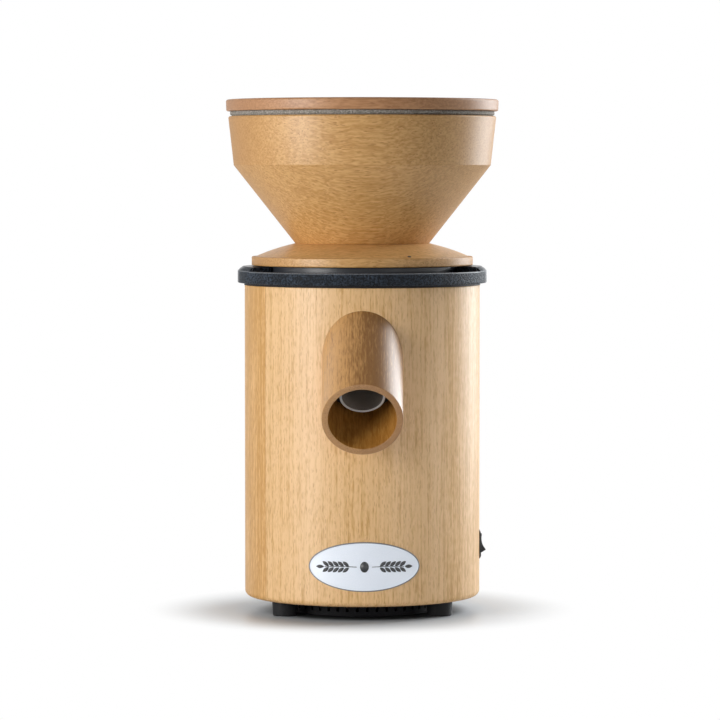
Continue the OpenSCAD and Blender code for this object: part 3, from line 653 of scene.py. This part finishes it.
# painted highlight: a paler black plastic on the ring's rounded top edges stands in for the bright line of
# light along them
RING_EDGE_HIGHLIGHT_PLASTIC = moulded(
    "black plastic, painted edge highlight",
    base=(0.045, 0.052, 0.062),
    highlights=(0.11, 0.13, 0.155),
    bump=0.0002,
    grain=0.0012,
    roughness=0.4,
)
COLLAR_PLASTIC = moulded(
    "smooth black plastic",
    base=(0.030, 0.033, 0.042),
    highlights=(0.040, 0.045, 0.055),
    bump=0.00002,
    grain=0.0004,
    roughness=0.3,
)
BLACK_PLASTIC = moulded(
    "fine black plastic",
    base=(0.011, 0.011, 0.012),
    highlights=(0.022, 0.022, 0.024),
    bump=0.00004,
    grain=0.0005,
)
# painted shade: darker than the other black plastic, for the shade under the casing; its lower gloss is
# its own
PAN_SHADED_PLASTIC = moulded(
    "dull black plastic, painted shade",
    base=(0.006, 0.006, 0.007),
    highlights=(0.012, 0.012, 0.013),
    bump=0.00004,
    roughness=0.65,
    Specular_IOR_Level=0.12,
)
TUBE_PLASTIC = moulded(
    "pale grey plastic",
    base=(0.60, 0.59, 0.58),
    highlights=(0.7, 0.69, 0.68),
    bump=0.00002,
    roughness=0.4,
)
# painted shade: the inside of the outlet tube is a darker grey than its outside and mouth
TUBE_BORE_SHADED_PLASTIC = moulded(
    "grey plastic, dull inside with painted shade",
    base=(0.20, 0.175, 0.15),
    highlights=(0.27, 0.24, 0.21),
    bump=0.00002,
    roughness=0.55,
)
BLOCK_PLASTIC = moulded(
    "ivory plastic",
    base=(0.66, 0.63, 0.5),
    highlights=(0.76, 0.73, 0.6),
    bump=0.00003,
    roughness=0.45,
)
BADGE_WHITE = moulded(
    "white enamel",
    base=(0.79, 0.85, 0.94),
    highlights=(0.83, 0.88, 0.97),
    bump=0.00001,
    roughness=0.35,
    Coat_Weight=1.0,
    Coat_Roughness=0.33,
)
# the badge's darker edge: partly a grey edge of the plate and partly painted shade where the plate meets
# the casing
BADGE_EDGE_AND_SHADE = moulded(
    "grey enamel edge with painted shade",
    base=(0.16, 0.17, 0.19),
    highlights=(0.2, 0.21, 0.23),
    bump=0.00001,
    roughness=0.45,
)
BADGE_INK = moulded(
    "dark grey print",
    base=(0.035, 0.037, 0.04),
    highlights=(0.05, 0.052, 0.056),
    bump=0.00001,
    roughness=0.4,
)
MARK_WHITE = moulded(
    "white print",
    base=(0.68, 0.68, 0.67),
    highlights=(0.76, 0.76, 0.75),
    bump=0.00001,
)
BLACK_RUBBER = moulded(
    "black rubber",
    base=(0.007, 0.007, 0.008),
    highlights=(0.014, 0.014, 0.015),
    bump=0.00006,
    roughness=0.6,
    Specular_IOR_Level=0.2,
)
LEAD_RUBBER = moulded(
    "black lead sleeve",
    base=(0.025, 0.025, 0.027),
    highlights=(0.05, 0.05, 0.052),
    bump=0.00003,
    roughness=0.55,
)
SEAL_RUBBER = finish_from(
    "grey felted seal",
    SPECKLE,
    {
        "Base": (0.23, 0.21, 0.18, 1),
        "Pale grain": (0.42, 0.4, 0.36, 1),
        "Dark grain": (0.1, 0.09, 0.08, 1),
        "Grain size": 0.0006,
    },
    0.0002,
)
STONE = finish_from(
    "bonded corundum",
    SPECKLE,
    {
        "Base": (0.62, 0.6, 0.55, 1),
        "Pale grain": (0.82, 0.8, 0.76, 1),
        "Dark grain": (0.3, 0.27, 0.24, 1),
        "Grain size": 0.0011,
    },
    0.0004,
)
CAST_METAL = metal("cast aluminium", bump=0.00015, Mottle=0.9, Tool_marks=0.1)
STEEL = metal("machined steel", bump=0.00002, Mottle=0.05, Tool_marks=0.6, Mean_roughness=0.3)
BLACKENED_STEEL = metal(
    "blackened steel",
    bump=0.00003,
    Base=(0.07, 0.07, 0.075, 1),
    Shade=(0.03, 0.03, 0.032, 1),
    Mean_roughness=0.42,
)
LAMINATIONS = metal(
    "stacked laminations",
    bump=0.00012,
    Base=(0.4, 0.41, 0.43, 1),
    Shade=(0.14, 0.15, 0.17, 1),
    Mottle=0.1,
    Tool_marks=1.4,
)
BRASS = metal(
    "turned brass",
    bump=0.00003,
    Base=(0.78, 0.56, 0.24, 1),
    Shade=(0.52, 0.35, 0.13, 1),
    Mean_roughness=0.3,
    Mottle=0.1,
)
COPPER = metal(
    "enamelled copper wire",
    bump=0.0002,
    Base=(0.62, 0.25, 0.12, 1),
    Shade=(0.35, 0.11, 0.05, 1),
    Mottle=0.2,
    Tool_marks=1.6,
)
CAN = metal("drawn aluminium can", bump=0.00002, Mottle=0.1, Tool_marks=0.3, Mean_roughness=0.32)

FINISH_OF_SLOT = {
    "casing_beech": CASING_BEECH,
    "hopper_beech": HOPPER_BEECH,
    "lid_beech": LID_BEECH,
    "ring_plastic": RING_PLASTIC,
    "collar_plastic": COLLAR_PLASTIC,
    "black_plastic": BLACK_PLASTIC,
    "tube_plastic": TUBE_PLASTIC,
    "block_plastic": BLOCK_PLASTIC,
    "badge_plastic": BADGE_WHITE,
    "seal_rubber": SEAL_RUBBER,
    "black_rubber": BLACK_RUBBER,
    "lead_rubber": LEAD_RUBBER,
    "casting": CAST_METAL,
    "steel": STEEL,
    "blackened_steel": BLACKENED_STEEL,
    "lamination_steel": LAMINATIONS,
    "brass": BRASS,
    "copper": COPPER,
    "can": CAN,
    "stone": STONE,
}
# the pieces under the casing are duller than the rest of their slot, and darker, as painted shade under
# the casing
DULLER_SHADED_NODES = {"vent_pan": PAN_SHADED_PLASTIC, "base_plate": PAN_SHADED_PLASTIC}


def dress_cad_nodes():
    """Every CAD node takes the finish of the material slot that the record gives it."""
    for subpart in frame["record"]["subparts"]:
        node = subpart["node"]
        slots = NODES[node].data.materials
        slots.clear()
        slots.append(DULLER_SHADED_NODES.get(node, FINISH_OF_SLOT[subpart["material_slot"]]))


# ---------------------------------------------------------------- wooden pieces


def funnel_r(z):
    """Radius of the funnel's inside at height z, below the neck."""
    slope = (KINK_R - NECK_R) / (KINK_Z - NECK_Z)
    return NECK_R - HOPPER_WALL - slope * (NECK_Z - z)


def make_hopper():
    """A slightly tapered band over a straight cone, on a spigot that stands in the base."""
    outline = soften(
        [
            (funnel_r(SOCKET_Z), SOCKET_Z),
            (SPIGOT_WALL_R, SOCKET_Z),
            (SPIGOT_WALL_R, NECK_Z),
            (NECK_R, NECK_Z, 0.4 * MM),
            (KINK_R, KINK_Z, 1.2 * MM),
            (HOPPER_TOP_R, HOPPER_Z1, 1.4 * MM),
            (HOPPER_TOP_R - HOPPER_WALL, HOPPER_Z1, 1.4 * MM),
            (KINK_R - HOPPER_WALL, KINK_Z, 2 * MM),
            (NECK_R - HOPPER_WALL, NECK_Z),
        ]
    )
    turned("hopper_bowl", outline, "hopper", HOPPER_BEECH, ["hopper"])


def make_hopper_base():
    """A flat round flange with a shallow dome on it that rises to the hopper's neck."""
    top = FLANGE_Z + FLANGE_T
    foot, crest = (DOME_FOOT_R, top), (NECK_R - 0.2 * MM, NECK_Z)
    edge = soften(
        [
            (funnel_r(FLANGE_Z), FLANGE_Z),
            (FLANGE_R, FLANGE_Z, 0.9 * MM),
            (FLANGE_R, top, 0.9 * MM),
            foot,
        ]
    )
    dome = [*bulged(foot, crest, -0.8 * MM), Vector(crest)]
    seat = [
        Vector((SPIGOT_WALL_R, NECK_Z)),
        Vector((SPIGOT_WALL_R, SOCKET_Z)),
        Vector((funnel_r(SOCKET_Z), SOCKET_Z)),
    ]
    # the dome's stretches take the paler wood, as painted light
    lit_dome_stretches = range(len(edge) - 1, len(edge) + len(dome) - 1)
    turned(
        "hopper_foot",
        edge + dome + seat,
        "hopper",
        HOPPER_BEECH,
        ["hopper_base"],
        lit_dome_stretches,
        DOME_LIT_BEECH,
    )


def make_lid():
    """The lid's disc, and under it the seal ring, which is narrower at its foot."""
    low, high = height_of("lid_disc")
    r = radius_of("lid_disc")
    outline = soften([(0, low), (r - 0.3 * MM, low, 1.2 * MM), (r, high, 1.6 * MM), (0, high)])
    turned("lid_plate", outline, "lid", LID_BEECH, ["lid_disc"])
    low, high = height_of("lid_seal")
    r = radius_of("lid_seal")
    inner = radius_of("lid_locator")
    undercut = Vector((r - 1.3 * MM, low + 0.8 * MM))
    outline = soften(
        [
            (inner, low),
            (undercut.x, low),
            (undercut.x, undercut.y, 0.2 * MM),
            (r, undercut.y, 0.7 * MM),
            (r, high, 1.2 * MM),
            (inner, high),
        ]
    )
    turned("lid_gasket", outline, "lid", SEAL_RUBBER, ["lid_seal"])


def on_spout(r, angle, along):
    """A point at a radius and an angle around the spout's axis, and at a length along it."""
    x, up = r * math.cos(angle), r * math.sin(angle)
    forward = math.cos(SPOUT_DIP) * along + math.sin(SPOUT_DIP) * up
    return (x, -CASING_R - forward, SPOUT_Z - math.sin(SPOUT_DIP) * along + math.cos(SPOUT_DIP) * up)


def reach_of_wall(wall_r, r, angle):
    """Length along the spout's axis at which a line along the tube meets an upright round wall."""
    depth = math.sqrt(wall_r**2 - (r * math.cos(angle)) ** 2)
    return (depth - CASING_R) / math.cos(SPOUT_DIP) - math.tan(SPOUT_DIP) * r * math.sin(angle)


def slanted_tube(outer, inner, root, mouth, lip, steps, segments):
    """A tube along the spout's axis with a rounded lip; root and mouth tell how far its ends reach."""
    bm = bmesh.new()
    loops = []
    for k in range(segments):
        a = math.tau * k / segments
        section = [on_spout(outer, a, root(outer, a))]
        for i in range(steps + 1):
            bend = math.pi / 2 * i / steps
            r = outer - lip * (1 - math.cos(bend))
            section.append(on_spout(r, a, mouth(r, a) - lip * (1 - math.sin(bend))))
        for i in range(steps + 1):
            bend = math.pi / 2 * (1 - i / steps)
            r = inner + lip * (1 - math.cos(bend))
            section.append(on_spout(r, a, mouth(r, a) - lip * (1 - math.sin(bend))))
        section.append(on_spout(inner, a, root(inner, a)))
        loops.append([bm.verts.new(p) for p in section])
    bore_wall = len(loops[0]) - 2
    loops_to_faces(bm, loops, second=[bore_wall])
    return bm


def make_spout():
    """The beech spout; its mouth is cut to face less steeply down than the tube runs."""
    tilt = math.tan(SPOUT_DIP - MOUTH_DIP)

    def root(r, angle):
        return reach_of_wall(CASING_R - CASING_WALL, r, angle)

    def mouth(r, angle):
        return MOUTH_REACH - tilt * r * math.sin(angle)

    bm = slanted_tube(SPOUT_R, SPOUT_BORE_R, root, mouth, 0.45 * MM, steps=6, segments=240)
    finished("spout_tube", bm, "housing", SPOUT_BEECH, ["spout"], SPOUT_BORE_SHADED_BEECH)


def make_outlet_tube():
    """The grey tube in the spout's bore, from the milling chamber's wall to a square end; its inside is
    darker, as painted shade.
    """
    outer = radius_of("outlet_tube")
    wall, end, seat = 1.9 * MM, 30 * MM, -45 * MM
    chamber_r = 58.3 * MM

    def root(r, angle):
        return max(seat, reach_of_wall(chamber_r, r, angle))

    def mouth(r, angle):
        return end

    bm = slanted_tube(outer, outer - wall, root, mouth, 0.7 * MM, steps=4, segments=160)
    finished(
        "outlet_tube_moulding",
        bm,
        "housing",
        TUBE_PLASTIC,
        ["outlet_tube"],
        TUBE_BORE_SHADED_PLASTIC,
    )


# ---------------------------------------------------------------- top ring and collar


def make_top_ring():
    """The black ring on the casing; it is low in a sector at the front and raised round the rest."""
    seat_r = 70 * MM
    spigot_r = CASING_R - CASING_WALL - 0.5 * MM
    well_r = COLLAR_R + 1.6 * MM
    rim_in = RING_R - 3 * MM
    shared = [
        (seat_r, SPIGOT_Z),
        (spigot_r, SPIGOT_Z),
        (spigot_r, RING_Z),
        (RING_R, RING_Z, 0.9 * MM),
        (RING_R, RIM_Z, 0.9 * MM),
    ]
    inside = [(well_r, GROOVE_Z), (seat_r, GROOVE_Z)]
    raised = soften(
        [
            *shared,
            (RING_R - 2 * MM, RIM_Z + 1.95 * MM, 0.2 * MM),
            (RING_R - 4.2 * MM, WING_Z, 0.8 * MM),
            (well_r, WING_Z, 0.4 * MM),
            *inside,
        ]
    )
    low = soften(
        [
            *shared,
            (RING_R - 2 * MM, RIM_Z, 0.2 * MM),
            (rim_in, RIM_Z - 0.05 * MM, 0.5 * MM),
            (rim_in, GROOVE_Z, 0.4 * MM),
            *inside,
        ]
    )
    # the ring changes from low to raised over twice this angle
    step = math.radians(0.35)
    bm = bmesh.new()
    loops = []
    segments = 360
    angles = [math.tau * k / segments - math.pi for k in range(segments)]
    for side in (-1, 1):
        angles += [RING_TURN + side * (LOW_SECTOR - step), RING_TURN + side * (LOW_SECTOR + step)]
    for a in sorted(set(angles)):
        outline = low if abs(a - RING_TURN) < LOW_SECTOR else raised
        loops.append(
            [bm.verts.new((p[0] * math.sin(a), -p[0] * math.cos(a), p[1])) for p in outline]
        )
    # the stretches of the outlines that round the rim's top edge and the raised part's edge; they take the
    # paler finish as a painted highlight
    rim_edge, wing_edge = range(9, 14), range(21, 26)
    loops_to_faces(bm, loops, second=[*rim_edge, *wing_edge])
    finished(
        "top_ring_moulding", bm, "housing", RING_PLASTIC, ["top_ring"], RING_EDGE_HIGHLIGHT_PLASTIC
    )


def make_collar():
    """The collar under the flange, with the skirt that turns inside the top ring."""
    throat_r = 21 * MM
    skirt_r, skirt_in = 66 * MM, 62 * MM
    thrust_r = radius_of("thrust_washer")
    clearance = 1.2 * MM
    under = GROOVE_Z + clearance
    skirt_z = SPIGOT_Z + clearance
    foot_z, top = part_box("thrust_washer")[1].z, FLANGE_Z
    outline = soften(
        [
            (throat_r, foot_z),
            (thrust_r, foot_z),
            (thrust_r, under),
            (skirt_in, under),
            (skirt_in, skirt_z),
            (skirt_r, skirt_z),
            (skirt_r, under),
            (COLLAR_R, under, 0.4 * MM),
            (COLLAR_R, top, 0.8 * MM),
            (funnel_r(FLANGE_Z), top),
        ]
    )
    turned("collar_moulding", outline, "hopper", COLLAR_PLASTIC, ["hopper_collar"])


# ---------------------------------------------------------------- badge and switch


def badge_point(u, v, proud):
    """A point on the casing's face, u to the right and v up from the badge's middle."""
    middle = (BADGE_LOW.z + BADGE_HIGH.z) / 2
    turn = math.radians(1)
    y = -math.sqrt((CASING_R + proud) ** 2 - u * u)
    return (u * math.cos(turn) - y * math.sin(turn), u * math.sin(turn) + y * math.cos(turn), middle + v)


def badge_oval(bm, half_w, half_h, proud):
    """A loop of vertices round the badge's middle."""
    segments = 200
    loop = []
    for k in range(segments):
        a = math.tau * k / segments
        loop.append(bm.verts.new(badge_point(half_w * math.cos(a), half_h * math.sin(a), proud)))
    return loop


def make_badge():
    """A thin oval plate with a raised rim and a darker edge, partly painted shade, bent round the casing.
    """
    half_w = 43.25 * MM
    half_h = (BADGE_HIGH.z - BADGE_LOW.z) / 2
    rim = 1.5 * MM
    # inset from the edge and how far the surface stands proud of the casing, in millimetres
    edge_section = [(0, 0.02), (0, 0.55), (0.15, 0.8), (0.45, 0.95)]
    rim_section = [(0.9, 0.97), (1.3, 0.85), (1.7, 0.72), (2.2, 0.7)]
    field_proud = 0.7 * MM
    bm = bmesh.new()
    loops = []
    for inset, proud in edge_section + rim_section:
        loops.append(badge_oval(bm, half_w - inset * MM, half_h - inset * MM, proud * MM))
    for share in (0.8, 0.6, 0.4, 0.2):
        w, h = (half_w - 2 * rim) * share, (half_h - 2 * rim) * share
        loops.append(badge_oval(bm, w, h, field_proud))
    loops_to_faces(bm, loops, closed=False)
    edge = {corner for loop in loops[: len(edge_section)] for corner in loop}
    for face in bm.faces:
        face.material_index = int(any(corner in edge for corner in face.verts))
    bm.faces.new(loops[-1])
    bm.faces.new(list(reversed(loops[0])))
    finished("badge_plate", bm, "housing", BADGE_WHITE, ["badge"], BADGE_EDGE_AND_SHADE)


def printed(bm, outline, proud=0.74):
    """A flat printed shape on the badge, from points to the right and up, in millimetres."""
    bm.faces.new([bm.verts.new(badge_point(u * MM, v * MM, proud * MM)) for u, v in outline])


def grain_kernel(bm, u, v, heading, length=6.2, width=2.7):
    """One lens-shaped kernel of an ear of grain."""
    outline = []
    for side in (1, -1):
        for k in range(8):
            t = k / 8
            along = length * (t if side > 0 else 1 - t)
            across = side * width / 2 * math.sin(math.pi * t) ** 0.8
            outline.append(
                (
                    u + along * math.cos(heading) - across * math.sin(heading),
                    v + along * math.sin(heading) + across * math.cos(heading),
                )
            )
    printed(bm, outline)


def give_thickness(piece, thickness):
    """Gives printed shapes a thin body, half of it on each side of their face."""
    skin = piece.modifiers.new("print thickness", "SOLIDIFY")
    skin.thickness = thickness
    skin.offset = 0


def make_badge_ornament():
    """Two plain ears of grain that lie away from a round seed in the middle."""
    stem_start, stem_length, stem_rise, stem_half = 6, 25, 0.35, 0.25
    first_kernel, kernel_step, tip_kernel = 12, 3.9, 31.4
    kernel_lean = math.radians(38)
    seed_half_w, seed_half_h = 3.4, 4.2
    stem_steps, seed_steps = 12, 28
    bm = bmesh.new()
    for side in (-1, 1):
        outward = 0 if side > 0 else math.pi
        stem = []
        for k in range(stem_steps + 1):
            t = k / stem_steps
            stem.append((side * (stem_start + stem_length * t), stem_rise * math.sin(math.pi * t)))
        for (u0, v0), (u1, v1) in zip(stem, stem[1:]):
            under = [(u0, v0 - stem_half), (u1, v1 - stem_half)]
            over = [(u1, v1 + stem_half), (u0, v0 + stem_half)]
            corners = under + over
            printed(bm, corners if side > 0 else corners[::-1])
        for k in range(5):
            u = side * (first_kernel + kernel_step * k)
            for lean in (-1, 1):
                grain_kernel(bm, u, 0.4 * lean, outward + side * lean * kernel_lean)
        grain_kernel(bm, side * tip_kernel, 0, outward)
    seed = []
    for k in range(seed_steps):
        a = math.tau * k / seed_steps
        seed.append((seed_half_w * math.cos(a), seed_half_h * math.sin(a)))
    printed(bm, seed)
    piece = finished("badge_ornament", bm, "housing", BADGE_INK)
    give_thickness(piece, 0.03 * MM)


def make_switch():
    """The rocker and its bezel on the casing's right side."""
    softened("rocker_cap", "rocker", "rocker", BLACK_PLASTIC, 0.3 * MM)
    softened("switch_bezel", "switch_housing", "housing", BLACK_PLASTIC, 0.25 * MM)


def make_rocker_marks():
    """A white stroke for on and a white ring for off, on the rocker's two halves."""
    shape = bmesh.new()
    shape.from_mesh(NODES["rocker"].data)
    surface = BVHTree.FromBMesh(shape)
    shape.free()
    middle = (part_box("rocker")[0].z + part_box("rocker")[1].z) / 2

    def on_rocker(y, z):
        start = Vector((CASING_R + 50 * MM, y * MM, middle + z * MM))
        hit, normal, _, _ = surface.ray_cast(start, Vector((-1, 0, 0)))
        return hit + normal * 0.03 * MM

    bm = bmesh.new()
    stroke_half, stroke_low, stroke_high = 0.25, 2.2, 4.8
    ring_z, ring_out, ring_in = -3.6, 1.35, 0.9
    stroke_steps, ring_steps = 6, 40
    stroke, ring = [], []
    for k in range(stroke_steps + 1):
        z = stroke_low + (stroke_high - stroke_low) * k / stroke_steps
        stroke.append([bm.verts.new(on_rocker(side * stroke_half, z)) for side in (-1, 1)])
    for (a, b), (c, d) in zip(stroke, stroke[1:]):
        bm.faces.new((a, b, d, c))
    for k in range(ring_steps):
        a = math.tau * k / ring_steps
        pair = [on_rocker(r * math.cos(a), ring_z + r * math.sin(a)) for r in (ring_in, ring_out)]
        ring.append([bm.verts.new(p) for p in pair])
    for (a, b), (c, d) in zip(ring, ring[1:] + ring[:1]):
        bm.faces.new((a, b, d, c))
    piece = finished("rocker_marks", bm, "rocker", MARK_WHITE)
    give_thickness(piece, 0.04 * MM)


# ---------------------------------------------------------------- room


def make_camera():
    """Straight in front and a little above, looking slightly down."""
    data = bpy.data.cameras.new("camera")
    data.lens = 185
    data.sensor_width = 36
    data.clip_end = 50
    camera = bpy.data.objects.new("camera", data)
    bpy.context.scene.collection.objects.link(camera)
    # the picture's middle lies a little to the left of the mill's axis
    left = 0.0018
    camera.location = (-left, -2.96, 0.3504)
    aim = Vector((-left, 0, 0.200)) - camera.location
    camera.rotation_euler = aim.to_track_quat("-Z", "Y").to_euler()
    bpy.context.scene.camera = camera


def make_lamp(name, place_at, aim, width, height, power, colour=(1, 1, 1)):
    """A rectangular lamp that lights the mill and stays out of the picture; its power is in watts."""
    data = bpy.data.lights.new(name, "AREA")
    data.shape = "RECTANGLE"
    data.size, data.size_y = width, height
    data.energy = power
    data.color = colour
    lamp = bpy.data.objects.new(name, data)
    bpy.context.scene.collection.objects.link(lamp)
    lamp.location = place_at
    lamp.rotation_euler = (Vector(aim) - Vector(place_at)).to_track_quat("-Z", "Y").to_euler()
    lamp.visible_camera = False
    return lamp


def around_mill(azimuth, distance, height):
    """A place beside the mill; azimuth 0 is in front of it and 90 on its right."""
    a = math.radians(azimuth)
    return (distance * math.sin(a), -distance * math.cos(a), height)


def make_lights():
    middle = (0, 0, 0.2)
    make_lamp("key softbox", around_mill(-52, 1.7, 0.42), middle, 0.7, 0.9, 22.5, (1.0, 0.99, 0.975))
    make_lamp("left strip", around_mill(-80, 1.7, 0.42), middle, 0.15, 1.0, 2.4)
    make_lamp("right back strip", around_mill(128, 1.4, 0.45), middle, 0.9, 1.3, 24, (0.93, 0.97, 1.0))
    make_lamp("right top strip", around_mill(108, 1.3, 1.02), middle, 0.3, 0.8, 5)
    low = (0, 0, 0.08)
    for name, azimuth, power in (("low front fill", 38, 0.045), ("low right fill", 78, 0.05)):
        fill = make_lamp(name, around_mill(azimuth, 1.2, 0.1), low, 0.4, 0.3, power)
        fill.data.spread = math.radians(20)


def seen_rays(tree):
    """1 for the rays that look at the room, straight, mirrored or through glass."""
    path = place(tree, "ShaderNodeLightPath")
    seen = calc(tree, "ADD", path.outputs["Is Camera Ray"], path.outputs["Is Glossy Ray"])
    seen = calc(tree, "ADD", seen, path.outputs["Is Transmission Ray"])
    return place(tree, "ShaderNodeClamp", {"Value": seen}).outputs[0]


def make_world():
    """White where it is looked at, and only a weak fill where it lights the mill."""
    world = bpy.data.worlds.new("white studio")
    bpy.context.scene.world = world
    world.use_nodes = True
    tree = world.node_tree
    tree.nodes.clear()
    fill = 0.12
    strength = calc(tree, "MULTIPLY_ADD", seen_rays(tree), 1 - fill, fill)
    back = place(tree, "ShaderNodeBackground", {"Color": (1, 1, 1, 1), "Strength": strength})
    output = tree.nodes.new("ShaderNodeOutputWorld")
    tree.links.new(back.outputs[0], output.inputs["Surface"])


def make_floor():
    """A pale floor that holds the mill's shadow, with a painted dark shadow under the mill, and fades to
    white away from it.
    """
    bm = bmesh.new()
    bmesh.ops.create_grid(bm, x_segments=2, y_segments=2, size=12)
    mesh = bpy.data.meshes.new("floor")
    bm.to_mesh(mesh)
    bm.free()
    floor = bpy.data.objects.new("floor", mesh)
    bpy.context.scene.collection.objects.link(floor)
    material = bpy.data.materials.new("pale floor")
    material.use_nodes = True
    tree = material.node_tree
    tree.nodes.clear()
    place_on = place(tree, "ShaderNodeTexCoord").outputs["Object"]
    away = place(tree, "ShaderNodeVectorMath", {0: place_on}, operation="LENGTH").outputs["Value"]
    # a painted dark shadow under the mill, pale grey beside it and white further out
    beside = remap(tree, away, 0.068, 0.088)
    tone = mixed(tree, beside, (0.04, 0.04, 0.042, 1), (0.74, 0.775, 0.81, 1))
    grey = place(tree, "ShaderNodeBsdfPrincipled", {"Base Color": tone, "Roughness": 0.35})
    white = place(tree, "ShaderNodeEmission", {"Color": (1, 1, 1, 1), "Strength": 1.0})
    share = calc(tree, "MULTIPLY", remap(tree, away, 0.1, 0.175), seen_rays(tree))
    both = place(tree, "ShaderNodeMixShader", {0: share, 1: grey.outputs[0], 2: white.outputs[0]})
    output = tree.nodes.new("ShaderNodeOutputMaterial")
    tree.links.new(both.outputs[0], output.inputs["Surface"])
    mesh.materials.append(material)


make_camera()
make_world()
make_lights()
make_floor()
dress_cad_nodes()
make_hopper()
make_hopper_base()
make_lid()
make_spout()
make_outlet_tube()
make_top_ring()
make_collar()
make_badge()
make_badge_ornament()
make_switch()
make_rocker_marks()
bpy.context.scene.view_settings.view_transform = "Standard"
